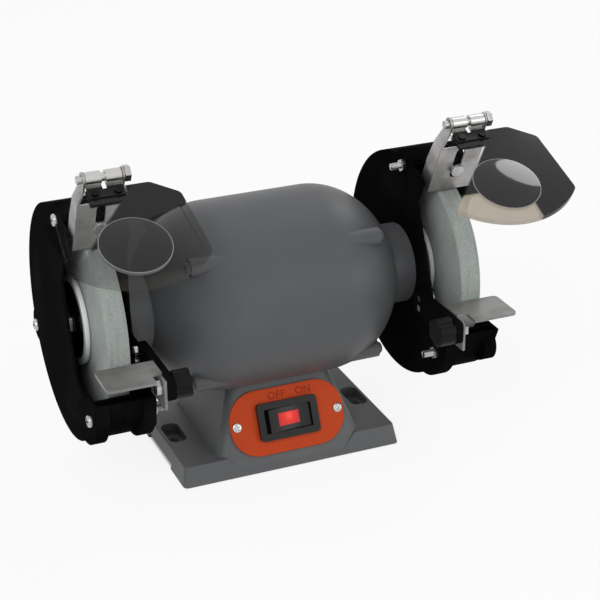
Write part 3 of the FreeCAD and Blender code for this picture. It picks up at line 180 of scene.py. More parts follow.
# painted castings: dust settles in clouds and specks over an orange-peel skin
paintSkin = {"cloud": 14, "specks": 4, "settle": (0.58, 0.92), "dusty": 0.5, "speckle": 0.25,
             "cloudRough": 0.10, "speckRough": 0.08, "speckHeight": 0.35, "bump": 0.35}
motorPaint = {"color": rgb(0.096, 0.099, 0.103), "dust": rgb(0.13, 0.132, 0.136), "peel": 620,
              "rough": 0.44, "depth": 0.00022, "shine": 0.28}
basePaint = {"color": rgb(0.122, 0.126, 0.130), "dust": rgb(0.17, 0.173, 0.176), "peel": 430,
             "rough": 0.47, "depth": 0.0004, "shine": 0.3}
guardPaint = {"color": rgb(0.0042, 0.0042, 0.0044), "dust": rgb(0.018, 0.018, 0.0185), "peel": 760,
              "rough": 0.42, "depth": 0.00016, "shine": 0.0002}
armPaint = {"color": rgb(0.005, 0.005, 0.0052), "dust": rgb(0.014, 0.014, 0.014), "peel": 380,
            "rough": 0.5, "depth": 0.0004, "shine": 0.002}


def paintFinish(name, spec):
    material, w = newFinish(name)
    skin = paintSkin
    cloud = noise(w, skin["cloud"], 4)
    peel = noise(w, spec["peel"], 2)
    speck = noise(w, spec["peel"] * skin["specks"], 1)
    settled = fade(w, cloud + skin["speckle"] * speck, *skin["settle"]) * skin["dusty"]
    color = blendColor(w, settled, spec["color"], spec["dust"])
    roughness = spec["rough"] + skin["cloudRough"] * (cloud - 0.5) + skin["speckRough"] * (speck - 0.5)
    normal = grooved(w, peel + skin["speckHeight"] * speck, skin["bump"], spec["depth"])
    return closeFinish(material, w, Base_Color=color, Roughness=roughness, Normal=normal,
                       Specular_IOR_Level=spec["shine"])


# metals: brushed along the grain, with tarnish in clouds
metalSkin = {"cloud": 55, "tarnish": (0.50, 0.86), "brushed": 0.3, "brushRough": 0.16, "tarnishRough": 0.12,
             "bump": 0.22, "depth": 0.00012}
zincSheet = {"color": rgb(0.43, 0.42, 0.415), "worn": rgb(0.29, 0.28, 0.275), "grain": (60, 900, 900),
             "rough": 0.32, "metal": 0.9}
restSheet = {"color": rgb(0.26, 0.255, 0.25), "worn": rgb(0.19, 0.185, 0.18), "grain": (60, 900, 900),
             "rough": 0.36, "metal": 0.5}
brightSteel = {"color": rgb(0.54, 0.54, 0.54), "worn": rgb(0.36, 0.36, 0.355), "grain": (500, 500, 500),
               "rough": 0.20, "metal": 1.0}
shaftSteel = {"color": rgb(0.52, 0.52, 0.52), "worn": rgb(0.36, 0.36, 0.36), "grain": (1500, 90, 90),
              "rough": 0.22, "metal": 1.0}
darkSteel = {"color": rgb(0.012, 0.012, 0.0125), "worn": rgb(0.03, 0.03, 0.03), "grain": (400, 400, 400),
             "rough": 0.40, "metal": 1.0}
plateSteel = {"color": rgb(0.30, 0.30, 0.31), "worn": rgb(0.2, 0.2, 0.2), "grain": (120, 120, 120),
              "rough": 0.42, "metal": 1.0}
canMetal = {"color": rgb(0.55, 0.55, 0.56), "worn": rgb(0.42, 0.42, 0.43), "grain": (60, 700, 700),
            "rough": 0.33, "metal": 1.0}
windingWire = {"color": rgb(0.45, 0.20, 0.08), "worn": rgb(0.20, 0.08, 0.03), "grain": (30, 1200, 1200),
               "rough": 0.35, "metal": 1.0}
coreSheet = {"color": rgb(0.22, 0.22, 0.23), "worn": rgb(0.12, 0.12, 0.125), "grain": (1800, 20, 20),
             "rough": 0.42, "metal": 1.0}


def metalFinish(name, spec):
    material, w = newFinish(name)
    skin = metalSkin
    brushed = streaks(w, spec["grain"], 3, 0.6)
    cloud = noise(w, skin["cloud"])
    tarnish = fade(w, cloud + skin["brushed"] * brushed, *skin["tarnish"])
    color = blendColor(w, tarnish, spec["color"], spec["worn"])
    roughness = spec["rough"] + skin["brushRough"] * (brushed - 0.5) + skin["tarnishRough"] * tarnish
    normal = grooved(w, brushed, skin["bump"], skin["depth"])
    return closeFinish(material, w, Base_Color=color, Metallic=spec["metal"], Roughness=roughness,
                       Normal=normal)


# the flanges are turned: dark and dished inside a bright rim; the rim is polished steel and also a painted
# highlight, pale and less metallic than the rest so it reads bright inside the shaded guard
turnedSteel = {"color": rgb(0.12, 0.14, 0.165), "edge": rgb(0.93, 0.94, 0.95), "rim": 0.0278,
               "rimBlend": 0.0006, "pitch": 0.00055, "rough": 0.30, "stain": rgb(0.06, 0.065, 0.07),
               "stainScale": 90, "stained": (0.5, 0.8), "stainShare": 0.45, "stainRough": 0.12,
               "rimRough": 0.2, "rimPaint": 0.75, "bump": 0.25, "depth": 0.00008}


def turnedFinish(name, spec):
    material, w = newFinish(name)
    y, z = parts(w, place(w))[1:]
    rise = z - axisHeight
    radius = (y * y + rise * rise) ** 0.5
    rings = w.maths("SINE", radius * (2 * math.pi / spec["pitch"]))
    # the bright rim mask: real polish and a painted highlight in one
    polishAndPaintedHighlight = fade(w, radius, spec["rim"], spec["rim"] + spec["rimBlend"])
    stain = noise(w, spec["stainScale"], 4)
    stained = fade(w, stain, *spec["stained"]) * spec["stainShare"]
    color = blendColor(w, stained, spec["color"], spec["stain"])
    color = blendColor(w, polishAndPaintedHighlight, color, spec["edge"])
    roughness = spec["rough"] + spec["stainRough"] * (stain - 0.5) + spec["rimRough"] * polishAndPaintedHighlight
    normal = grooved(w, rings, spec["bump"], spec["depth"])
    metallic = 1 - spec["rimPaint"] * polishAndPaintedHighlight
    return closeFinish(material, w, Base_Color=color, Metallic=metallic, Roughness=roughness, Normal=normal)


# grinding wheel
stone = {"pale": rgb(0.46, 0.50, 0.475), "mid": rgb(0.345, 0.378, 0.36), "dark": rgb(0.19, 0.21, 0.205),
         "grain": 1250, "pore": 760, "pores": (0.62, 0.74), "poreShare": 0.45, "smear": 34,
         "smeared": (0.42, 0.72), "smearShare": 0.42, "streak": (420, 26, 26), "streaked": (0.48, 0.72),
         "streakShare": 0.30, "facet": 0.8, "bump": 0.40, "depth": 0.0005, "rough": 0.9, "grainRough": 0.15}


def stoneFinish(name, spec):
    material, w = newFinish(name)
    cells = {"Vector": place(w), "Scale": spec["grain"]}
    tone = parts(w, w.node("ShaderNodeTexVoronoi", None, cells, "Color"))[0]
    facet = w.node("ShaderNodeTexVoronoi", None, cells, "Distance")
    pore = fade(w, noise(w, spec["pore"], 2), *spec["pores"])
    smear = fade(w, noise(w, spec["smear"], 5, 0.6), *spec["smeared"])
    streak = fade(w, streaks(w, spec["streak"], 2, 0.5), *spec["streaked"])
    color = blendColor(w, tone, spec["mid"], spec["pale"])
    color = blendColor(w, smear * spec["smearShare"], color, spec["mid"])
    color = blendColor(w, streak * spec["streakShare"], color, spec["dark"])
    color = blendColor(w, pore * spec["poreShare"], color, spec["dark"])
    normal = grooved(w, tone - facet * spec["facet"] - pore, spec["bump"], spec["depth"])
    roughness = spec["rough"] - spec["grainRough"] * tone
    return closeFinish(material, w, Base_Color=color, Roughness=roughness, Normal=normal)


# plastics, rubber, card and ink, rubbed in places
plasticSkin = {"rub": 60, "rubbed": (0.52, 0.85), "share": 0.5, "grainRough": 0.12, "rubRough": 0.1,
               "bump": 0.25, "depth": 0.00015}
switchPlate = {"color": rgb(0.60, 0.066, 0.012), "worn": rgb(0.46, 0.048, 0.010), "grain": 1500,
               "rough": 0.42, "shine": 0.15}
switchBlack = {"color": rgb(0.006, 0.006, 0.0062), "worn": rgb(0.014, 0.014, 0.014), "grain": 1300,
               "rough": 0.30, "shine": 0.30}
knobBlack = {"color": rgb(0.007, 0.007, 0.0072), "worn": rgb(0.02, 0.02, 0.02), "grain": 900,
             "rough": 0.42, "shine": 0.10}
footBlack = {"color": rgb(0.012, 0.012, 0.012), "worn": rgb(0.03, 0.03, 0.03), "grain": 600,
             "rough": 0.75, "shine": 0.3}
cardPaper = {"color": rgb(0.20, 0.21, 0.20), "worn": rgb(0.13, 0.135, 0.13), "grain": 500,
             "rough": 0.85, "shine": 0.2}
markInk = {"color": rgb(0.30, 0.036, 0.008), "worn": rgb(0.40, 0.045, 0.010), "grain": 700,
           "rough": 0.5, "shine": 0.1}


def plasticFinish(name, spec):
    material, w = newFinish(name)
    skin = plasticSkin
    grain = noise(w, spec["grain"], 2)
    rubbed = fade(w, noise(w, skin["rub"], 4, 0.6), *skin["rubbed"]) * skin["share"]
    color = blendColor(w, rubbed, spec["color"], spec["worn"])
    roughness = spec["rough"] + skin["grainRough"] * (grain - 0.5) + skin["rubRough"] * rubbed
    normal = grooved(w, grain, skin["bump"], skin["depth"])
    return closeFinish(material, w, Base_Color=color, Roughness=roughness, Normal=normal,
                       Specular_IOR_Level=spec["shine"])


# the lit window of the rocker is hottest over its bulb
lamp = {"deep": rgb(0.40, 0.010, 0.010), "glow": rgb(0.86, 0.045, 0.03), "hot": rgb(1.0, 0.12, 0.06),
        "middle": (0.0005, -0.0452, 0.0372), "reach": 0.0095, "ribs": (1500, 60, 60), "ribbed": 0.3,
        "core": (0.75, 1.15), "power": 0.7, "rough": 0.25, "ribRough": 0.1, "shine": 0.2, "bump": 0.2,
        "depth": 0.0001}


def lampFinish(name, spec):
    material, w = newFinish(name)
    away = distance(w, spec["middle"])
    ribs = streaks(w, spec["ribs"], 1, 0.5)
    near = 1 - fade(w, away, 0.0, spec["reach"])
    color = blendColor(w, near, spec["deep"], spec["glow"])
    color = blendColor(w, fade(w, near + spec["ribbed"] * ribs, *spec["core"]), color, spec["hot"])
    roughness = spec["rough"] + spec["ribRough"] * ribs
    normal = grooved(w, ribs, spec["bump"], spec["depth"])
    return closeFinish(material, w, Base_Color=spec["deep"], Roughness=roughness, Emission_Color=color,
                       Emission_Strength=spec["power"], Specular_IOR_Level=spec["shine"], Normal=normal)


# the shields hang from their hinges; across is counted from the bracket, along from the hinge
hinge = {"y": -0.0586646, "z": 0.2532643, "tilt": 25}


def shieldPoint(sign, across, along, lift):
    t = math.radians(hinge["tilt"])
    y = hinge["y"] - along * math.cos(t) - lift * math.sin(t)
    return (sign * wheelAt + across, y, hinge["z"] - along * math.sin(t) + lift * math.cos(t))


def shieldAxes(w, sign):
    t = math.radians(hinge["tilt"])
    x, y, z = parts(w, place(w))
    along = (hinge["y"] - y) * math.cos(t) + (hinge["z"] - z) * math.sin(t)
    return x - sign * wheelAt, along


# smoked beside the bracket and by the hinge, clear in front of the wheel, with a pale band of painted
# highlight along the front lip, strong on the right shield and faint on the left
shieldTint = {"color": rgb(0.010, 0.010, 0.0105), "lip": rgb(0.50, 0.44, 0.35), "clear": 0.05,
              "smoke": 0.965, "lean": 0.85, "leanFrom": 0.012, "beside": (0.0125, 0.0160),
              "between": (0.0195, 0.0210), "legs": (0.0125, 0.0145), "slope": 0.39, "thinFrom": 0.0470,
              "thinBlend": 0.0025, "lipBlend": 0.002, "film": 26, "filmDepth": 0.05, "filmRough": 0.06,
              "scratch": (1400, 90, 90), "scratched": (0.55, 0.8), "scratchRough": 0.10, "rough": 0.07,
              "ior": 1.5, "shine": 0.22, "bump": 0.05, "depth": 0.0001,
              "Left": {"thin": 0.25, "lipAlpha": 0.20, "lipFrom": 0.086, "lipEnd": 0.06, "lipTone": 0.10},
              "Right": {"thin": 0.965, "lipAlpha": 0.70, "lipFrom": 0.064, "lipEnd": 0.0155, "lipTone": 1.0}}


def shieldFinish(name, spec, side, sign):
    material, w = newFinish(name)
    own = spec[side]
    across, along = shieldAxes(w, sign)
    film = noise(w, spec["film"])
    scratch = streaks(w, spec["scratch"], 2, 0.6)
    drift = w.maths("MAXIMUM", along - spec["leanFrom"], 0.0)
    beside = fade(w, across + spec["lean"] * drift, *spec["beside"])
    between = 1 - fade(w, along, *spec["between"])
    between = between * (1 - fade(w, w.maths("ABSOLUTE", across), *spec["legs"]))
    smoked = w.maths("MAXIMUM", beside, between)
    thin = fade(w, along + spec["slope"] * across, spec["thinFrom"], spec["thinFrom"] + spec["thinBlend"])
    depth = spec["smoke"] + thin * (own["thin"] - spec["smoke"]) + spec["filmDepth"] * (film - 0.5)
    # the pale band along the lip is a painted highlight
    lip = fade(w, along, own["lipFrom"], own["lipFrom"] + spec["lipBlend"])
    lip = lip * (1 - fade(w, across, own["lipEnd"], own["lipEnd"] + spec["lipBlend"]))
    alpha = spec["clear"] + smoked * (depth - spec["clear"])
    alpha = alpha + smoked * lip * (own["lipAlpha"] - alpha)
    color = blendColor(w, lip * own["lipTone"], spec["color"], spec["lip"])
    scratched = fade(w, scratch, *spec["scratched"])
    roughness = spec["rough"] + spec["scratchRough"] * scratched + spec["filmRough"] * film
    normal = grooved(w, scratch, spec["bump"], spec["depth"])
    return closeFinish(material, w, Base_Color=color, Roughness=roughness, Alpha=alpha, IOR=spec["ior"],
                       Specular_IOR_Level=spec["shine"], Normal=normal)


# each lens is a disc with a domed top, in millimetres from the hinge
lensShape = {"radius": 24.5, "crown": 2.2, "edge": 2.4, "across": 5, "along": 60, "under": -7,
             "rings": 24, "steps": 96}


def lensPoint(sign, lift):
    return shieldPoint(sign, lensShape["across"] * mm, lensShape["along"] * mm, lift * mm)


# dark glass with a fine bright rim, a painted highlight along its edge
lensGlass = {"color": rgb(0.014, 0.0135, 0.013), "rimColor": rgb(0.34, 0.345, 0.35), "rim": 0.9,
             "rimLift": -5.8, "rimBand": (-0.6, -0.3), "alpha": {"Left": 0.90, "Right": 0.98}, "film": 40,
             "filmDepth": 0.03, "rough": 0.04, "filmRough": 0.05, "ior": 1.55, "shine": 0.3}


def lensFinish(name, spec, side, sign):
    material, w = newFinish(name)
    film = noise(w, spec["film"])
    away = distance(w, lensPoint(sign, spec["rimLift"]))
    # the fine bright ring at the edge is a painted highlight
    rim = fade(w, away, *((lensShape["radius"] + inset) * mm for inset in spec["rimBand"]))
    alpha = spec["alpha"][side] + spec["filmDepth"] * (film - 0.5)
    alpha = alpha + rim * (spec["rim"] - alpha)
    color = blendColor(w, rim, spec["color"], spec["rimColor"])
    roughness = spec["rough"] + spec["filmRough"] * film
    return closeFinish(material, w, Base_Color=color, Roughness=roughness, Alpha=alpha, IOR=spec["ior"],
                       Specular_IOR_Level=spec["shine"])


# the hinge clip is zinc at its knuckles and black beyond them, where it lies on the shield
clipSteel = {"zinc": rgb(0.55, 0.54, 0.53), "black": rgb(0.010, 0.010, 0.0105), "edge": (0.0050, 0.0060),
             "grain": (60, 900, 900), "rough": 0.28, "cloud": 70, "fray": 0.0004, "brushRough": 0.16,
             "strapRough": 0.2, "shine": 0.2, "bump": 0.2, "depth": 0.0001}


def clipFinish(name, spec, sign):
    material, w = newFinish(name)
    along = shieldAxes(w, sign)[1]
    brushed = streaks(w, spec["grain"], 3, 0.6)
    cloud = noise(w, spec["cloud"])
    strap = fade(w, along + spec["fray"] * (cloud - 0.5), *spec["edge"])
    color = blendColor(w, strap, spec["zinc"], spec["black"])
    roughness = spec["rough"] + spec["brushRough"] * (brushed - 0.5) + spec["strapRough"] * strap
    normal = grooved(w, brushed, spec["bump"], spec["depth"])
    return closeFinish(material, w, Base_Color=color, Metallic=1 - strap, Roughness=roughness,
                       Specular_IOR_Level=spec["shine"], Normal=normal)


# every finish, by the way it is made
finishKinds = (
    (paintFinish, {"motorPaint": motorPaint, "basePaint": basePaint, "guardPaint": guardPaint,
                   "armPaint": armPaint}),
    (metalFinish, {"zincSheet": zincSheet, "restSheet": restSheet, "brightSteel": brightSteel,
                   "shaftSteel": shaftSteel, "darkSteel": darkSteel, "plateSteel": plateSteel,
                   "canMetal": canMetal, "windingWire": windingWire, "coreSheet": coreSheet}),
    (turnedFinish, {"turnedSteel": turnedSteel}),
    (stoneFinish, {"stone": stone}),
    (plasticFinish, {"switchPlate": switchPlate, "switchBlack": switchBlack, "knobBlack": knobBlack,
                     "footBlack": footBlack, "cardPaper": cardPaper, "markInk": markInk}),
    (lampFinish, {"lamp": lamp}),
)
finishes = {name: make(name, spec) for make, specs in finishKinds for name, spec in specs.items()}
for side, sign in sides.items():
    finishes["shield" + side] = shieldFinish("shield" + side, shieldTint, side, sign)
    finishes["lens" + side] = lensFinish("lens" + side, lensGlass, side, sign)
    finishes["clip" + side] = clipFinish("clip" + side, clipSteel, sign)
print("finishes made:", len(finishes))

# the nodes that wear each finish
wearing = {
    "motorPaint": ["motor_shell", "end_bell_left", "end_bell_right"],
    "basePaint": ["base"],
    "guardPaint": ["guard_inner_left", "guard_inner_right", "guard_cover_left", "guard_cover_right"],
    "armPaint": ["rest_arm_left", "rest_arm_right"],
    "zincSheet": ["spark_bracket_left", "spark_bracket_right"],
    "restSheet": ["tool_rest_left", "tool_rest_right"],
    "brightSteel": ["end_bell_screws", "guard_screws", "guard_nuts", "guard_seat_screws", "rest_arm_screws",
                    "rest_bolts", "bracket_screws", "shield_bolt_left", "shield_bolt_right",
                    "switch_plate_screws", "base_plate_screws", "motor_base_screws", "wheel_nuts"],
    "shaftSteel": ["shaft", "bearing_outer_races", "bearing_inner_races", "bearing_balls"],
    "darkSteel": ["shield_screws_left", "shield_screws_right"],
    "plateSteel": ["base_bottom_plate"],
    "canMetal": ["capacitor"],
    "windingWire": ["stator_windings"],
    "coreSheet": ["stator_core", "rotor_core"],
    "turnedSteel": ["wheel_flanges_inner", "wheel_flanges_outer"],
    "stone": ["grinding_wheel_left", "grinding_wheel_right"],
    "switchPlate": ["switch_plate"],
    "switchBlack": ["switch_housing", "switch_rocker", "cable_gland"],
    "knobBlack": ["rest_knob_left", "rest_knob_right"],
    "footBlack": ["rubber_feet"],
    "cardPaper": ["wheel_blotters"],
    "lamp": ["rocker_window"],
    "clipLeft": ["shield_clip_left"],
    "clipRight": ["shield_clip_right"],
    "shieldLeft": ["eye_shield_left"],
    "shieldRight": ["eye_shield_right"],
    "lensLeft": ["magnifier_left"],
    "lensRight": ["magnifier_right"],
}
finishOf = {name: finish for finish, names in wearing.items() for name in names}
bodyOf = {name: body for body, names in frame["record"]["behaviour"]["bodies"].items() for name in names}
for name, item in nodes.items():
    item.data.materials.clear()
    item.data.materials.append(finishes[finishOf[name]])
print("finishes on", len(nodes), "nodes")


def addPiece(name, mesh, body, finish):
    piece = bpy.data.objects.new(name, mesh)
    bpy.context.scene.collection.objects.link(piece)
    piece.data.materials.clear()
    piece.data.materials.append(finishes[finish])
    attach(piece, body)
    return piece


def meshOf(shape, name):
    mesh = bpy.data.meshes.new(name)
    shape.to_mesh(mesh)
    shape.free()
    return mesh


# how flat faces are joined again, sharp corners kept and edges rounded; angles in degrees
softEdge = {"weld": 2e-6, "flat": 0.6, "sharp": 35, "corner": 32, "segments": 3, "weight": 80}


def smoothFaces(mesh):
    for face in mesh.polygons:
        face.use_smooth = True


def smoothMesh(shape, name):
    # smooth faces, with the sharp corners kept
    mesh = meshOf(shape, name)
    smoothFaces(mesh)
    mesh.set_sharp_from_angle(angle=math.radians(softEdge["sharp"]))
    return mesh


def copied(name):
    # the node's surface with its flat faces whole again
    shape = bmesh.new()
    shape.from_mesh(nodes[name].data)
    bmesh.ops.remove_doubles(shape, verts=shape.verts, dist=softEdge["weld"])
    bmesh.ops.dissolve_limit(shape, angle_limit=math.radians(softEdge["flat"]), verts=shape.verts,
                             edges=shape.edges, use_dissolve_boundaries=False, delimit=set())
    mesh = meshOf(shape, name + "Soft")
    if "custom_normal" in mesh.attributes:
        mesh.attributes.remove(mesh.attributes["custom_normal"])
    return mesh


def pieceName(name):
    words = name.split("_")
    return words[0] + "".join(word.capitalize() for word in words[1:]) + "Edged"


# edges broken by the press, the mould or the file, in millimetres
edgeBreak = {
    "spark_bracket_left": 0.45, "spark_bracket_right": 0.45, "tool_rest_left": 0.5, "tool_rest_right": 0.5,
    "shield_clip_left": 0.3, "shield_clip_right": 0.3, "shield_bolt_left": 0.4, "shield_bolt_right": 0.4,
    "guard_cover_left": 0.6, "guard_cover_right": 0.6, "guard_inner_left": 0.6, "guard_inner_right": 0.6,
    "guard_nuts": 0.35, "bracket_screws": 0.6, "rest_bolts": 0.4, "wheel_nuts": 0.6,
    "rest_arm_left": 1.2, "rest_arm_right": 1.2,
    "rest_knob_left": 1.1, "rest_knob_right": 1.1, "switch_plate": 0.6, "switch_housing": 0.8,
    "switch_rocker": 0.4, "eye_shield_left": 0.35, "eye_shield_right": 0.35, "wheel_flanges_outer": 0.6,
    "wheel_flanges_inner": 0.6, "shaft": 0.5, "cable_gland": 0.6, "rubber_feet": 0.6, "base": 1.0,
}


def softenEdges(piece, width):
    smoothFaces(piece.data)
    bevel = piece.modifiers.new("brokenEdge", "BEVEL")
    bevel.width = width * mm
    bevel.segments = softEdge["segments"]
    bevel.limit_method = "ANGLE"
    bevel.angle_limit = math.radians(softEdge["corner"])
    bevel.use_clamp_overlap = True
    normals = piece.modifiers.new("evenNormals", "WEIGHTED_NORMAL")
    normals.keep_sharp = False
    normals.weight = softEdge["weight"]


def breakEdges(name, width):
    piece = addPiece(pieceName(name), copied(name), bodyOf[name], finishOf[name])
    softenEdges(piece, width)
    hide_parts(name)


for name, width in edgeBreak.items():
    breakEdges(name, width)
print("edges broken on", len(edgeBreak), "pieces")


# broad feet that run from the front lobes of the guards into the rim, in millimetres
guardFeet = {"circle": 54.5, "angle": -39, "radius": 40, "inside": 86.2, "least": 0.05, "span": (-64, -20),
             "steps": 40,
             "faces": {"guardFootInnerRight": (112.7, 122.0, "guard_inner_right"),
                       "guardFootInnerLeft": (-122.0, -112.7, "guard_inner_left"),
                       "guardFootCoverLeft": (-155.9, -146.6, "guard_cover_left")}}


def footOutline(spec):
    # the part of the lobe's circle that stands outside the rim, as pairs of inner and outer points
    pairs = []
    low, high = spec["span"]
    for step in range(spec["steps"] + 1):
        turn = low + (high - low) * step / spec["steps"]
        off = math.radians(turn - spec["angle"])
        reach = spec["radius"] ** 2 - (spec["circle"] * math.sin(off)) ** 2
        outer = max(spec["circle"] * math.cos(off) + math.sqrt(reach), spec["inside"] + spec["least"])
        t = math.radians(turn)
        pairs.append([(-length * mm * math.cos(t), axisHeight + length * mm * math.sin(t))
                      for length in (spec["inside"], outer)])
    return pairs


def addFoot(name, near, far, node, spec):
    shape = bmesh.new()
    rows = []
    for inner, outer in footOutline(spec):
        spots = [(near, inner), (near, outer), (far, outer), (far, inner)]
        rows.append([shape.verts.new((x * mm, y, z)) for x, (y, z) in spots])
    for low, high in zip(rows, rows[1:]):
        for side in range(4):
            after = (side + 1) % 4
            shape.faces.new((low[side], low[after], high[after], high[side]))
    shape.faces.new(rows[0])
    shape.faces.new(rows[-1])
    bmesh.ops.recalc_face_normals(shape, faces=shape.faces)
    foot = addPiece(name, meshOf(shape, name), bodyOf[node], finishOf[node])
    softenEdges(foot, edgeBreak[node])


for name, (near, far, node) in guardFeet["faces"].items():
    addFoot(name, near, far, node, guardFeet)
print("guard feet added:", len(guardFeet["faces"]))


# cross-headed screws, with a cut thread at the end of each shank
crossScrews = {"cross": 0.62, "slot": 0.17, "depth": 0.55, "turn": 0.4, "steps": 28, "pitch": 0.8 * mm,
               "cut": 0.86, "point": 0.6, "threaded": 8 * mm, "most": 0.8,
               "head": ((0, 1), (0.45, 1), (0.72, 0.93), (0.92, 0.72), (1.0, 0.42))}


def turnedRows(shape, rows, steps):
    # closed solid on Z from rows of height and radius
    rings = []
    for height, radius in rows:
        turns = [2 * math.pi * step / steps for step in range(steps)]
        spots = [(radius * math.cos(turn), radius * math.sin(turn), height) for turn in turns]
        rings.append([shape.verts.new(spot) for spot in spots])
    for low, high in zip(rings, rings[1:]):
        for step in range(steps):
            after = (step + 1) % steps
            shape.faces.new((low[step], low[after], high[after], high[step]))
    shape.faces.new(rings[-1])
    shape.faces.new(list(reversed(rings[0])))


def crossHead(radius, height, spec):
    # a pan head on Z with its cross sunk in
    shape = bmesh.new()
    turnedRows(shape, [(rise * height, share * radius) for rise, share in spec["head"]], spec["steps"])
    tool = bmesh.new()
    reach, half = radius * spec["cross"], radius * spec["slot"]
    for turn in (0, math.pi / 2):
        made = bmesh.ops.create_cube(tool, size=1.0)["verts"]
        size = Matrix.Diagonal((2 * reach, 2 * half, 2 * spec["depth"] * height, 1))
        spot = Matrix.Translation((0, 0, height)) @ Matrix.Rotation(turn + spec["turn"], 4, "Z") @ size
        bmesh.ops.transform(tool, matrix=spot, verts=made)
    headObject = bpy.data.objects.new("screwHead", meshOf(shape, "screwHead"))
    toolObject = bpy.data.objects.new("crossTool", meshOf(tool, "crossTool"))
    for item in (headObject, toolObject):
        bpy.context.scene.collection.objects.link(item)
    cut = headObject.modifiers.new("cross", "BOOLEAN")
    cut.object, cut.operation, cut.solver = toolObject, "DIFFERENCE", "EXACT"
    cut.use_self = True
    bpy.context.view_layer.update()
    done = bpy.data.meshes.new_from_object(headObject.evaluated_get(bpy.context.evaluated_depsgraph_get()))
    for item in (headObject, toolObject):
        bpy.data.objects.remove(item)
    return done


def shankRows(radius, length, spec):
    # from the threaded end up to the head
    rows = [(-length, radius * spec["point"])]
    turns = int(min(spec["threaded"], length * spec["most"]) / spec["pitch"])
    for turn in range(turns):
        start = -length + (turn + 0.5) * spec["pitch"]
        rows += [(start, radius), (start + spec["pitch"] / 2, radius * spec["cut"])]
    return rows + [(-length + (turns + 0.5) * spec["pitch"], radius), (0, radius)]


def screwRow(name, head, shank, spots, finish, replaced):
    # head and shank are radius and length; each spot has the point under the head and the way it faces
    top = crossHead(*head, crossScrews)
    shape = bmesh.new()
    for spot, way in spots:
        before = len(shape.verts)
        shape.from_mesh(top)
        turnedRows(shape, shankRows(*shank, crossScrews), crossScrews["steps"])
        shape.verts.ensure_lookup_table()
        turn = Vector(way).to_track_quat("Z", "Y").to_matrix().to_4x4()
        seat = Matrix.Translation(Vector(spot)) @ turn
        bmesh.ops.transform(shape, matrix=seat, verts=shape.verts[before:])
    piece = addPiece(name, smoothMesh(shape, name), "frame", finish)
    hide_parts(replaced)


def turnLens(side, sign, spec):
    wide, crown = spec["radius"] * mm, spec["crown"] * mm
    ball = (wide ** 2 + crown ** 2) / (2 * crown)
    rows = [(0, wide)]
    for ring in range(spec["rings"]):
        radius = wide * (1 - ring / spec["rings"])
        rows.append((spec["edge"] * mm + crown - ball + math.sqrt(ball ** 2 - radius ** 2), radius))
    shape = bmesh.new()
    turnedRows(shape, rows, spec["steps"])
    lean = Matrix.Rotation(math.radians(hinge["tilt"]), 4, "X")
    seat = Matrix.Translation(lensPoint(sign, spec["under"])) @ lean
    bmesh.ops.transform(shape, matrix=seat, verts=shape.verts)
    node = "magnifier_" + side.lower()
    mesh = smoothMesh(shape, "lens" + side)
    piece = addPiece("lens" + side, mesh, bodyOf[node], finishOf[node])
    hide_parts(node)


for side, sign in sides.items():
    turnLens(side, sign, lensShape)
print("lenses turned")


# the switch panel leans back from the front of the base
panel = {"origin": (0, -0.052, 0.016), "tilt": 66, "switch": 0.02052, "plate": 0.002}


def onPanel(across, along, out):
    # a spot on the panel and the way the panel faces
    t = math.radians(panel["tilt"])
    up = Vector((0, math.cos(t), math.sin(t)))
    away = Vector((0, -math.sin(t), math.cos(t)))
    return Vector(panel["origin"]) + Vector((across, 0, 0)) + up * along + away * out, away


# screws that show: radius and length of head and shank, in millimetres
screwKinds = {
    "switchScrews": {"head": (3.6, 1.8), "shank": (1.75, 8), "finish": "brightSteel",
                     "node": "switch_plate_screws"},
    "guardScrews": {"head": (4.6, 3.2), "shank": (2.5, 55.5), "finish": "brightSteel",
                    "node": "guard_screws"},
    "bellScrews": {"head": (4.4, 3.5), "shank": (2.5, 43), "finish": "motorPaint",
                   "node": "end_bell_screws"},
    "plateScrews": {"head": (3.6, 1.5), "shank": (2, 10), "finish": "brightSteel",
                    "node": "base_plate_screws"},
}
screwPlaces = {"switch": 0.0405, "guard": (0.082, 0.1563, (85, 205, 325)),
               "bell": (0.0645, 0.073, (45, 135, 225, 315)), "plate": (0.050, 0.041, 0.003)}


def roundShaft(circle, station, angles):
    spots = []
    for sign in (-1, 1):
        for angle in angles:
            t = math.radians(angle)
            spot = (sign * station, -circle * math.cos(t), axisHeight + circle * math.sin(t))
            spots.append((spot, (sign, 0, 0)))
    return spots


def screwSpots():
    wide, deep, level = screwPlaces["plate"]
    out = screwPlaces["switch"]
    return {"switchScrews": [onPanel(side * out, panel["switch"], panel["plate"]) for side in (-1, 1)],
            "guardScrews": roundShaft(*screwPlaces["guard"]),
            "bellScrews": roundShaft(*screwPlaces["bell"]),
            "plateScrews": [((x * wide, y * deep, level), (0, 0, -1)) for x in (-1, 1) for y in (-1, 1)]}


for name, spots in screwSpots().items():
    kind = screwKinds[name]
    sizes = [[amount * mm for amount in kind[key]] for key in ("head", "shank")]
    screwRow(name, *sizes, spots, kind["finish"], kind["node"])
print("screws driven:", len(screwKinds), "rows")


# OFF and ON over the switch
marks = {"size": 0.0078, "raise": 0.00018, "spacing": 1.06, "up": 0.0365,
         "words": (("OFF", -0.0058), ("ON", 0.0156))}


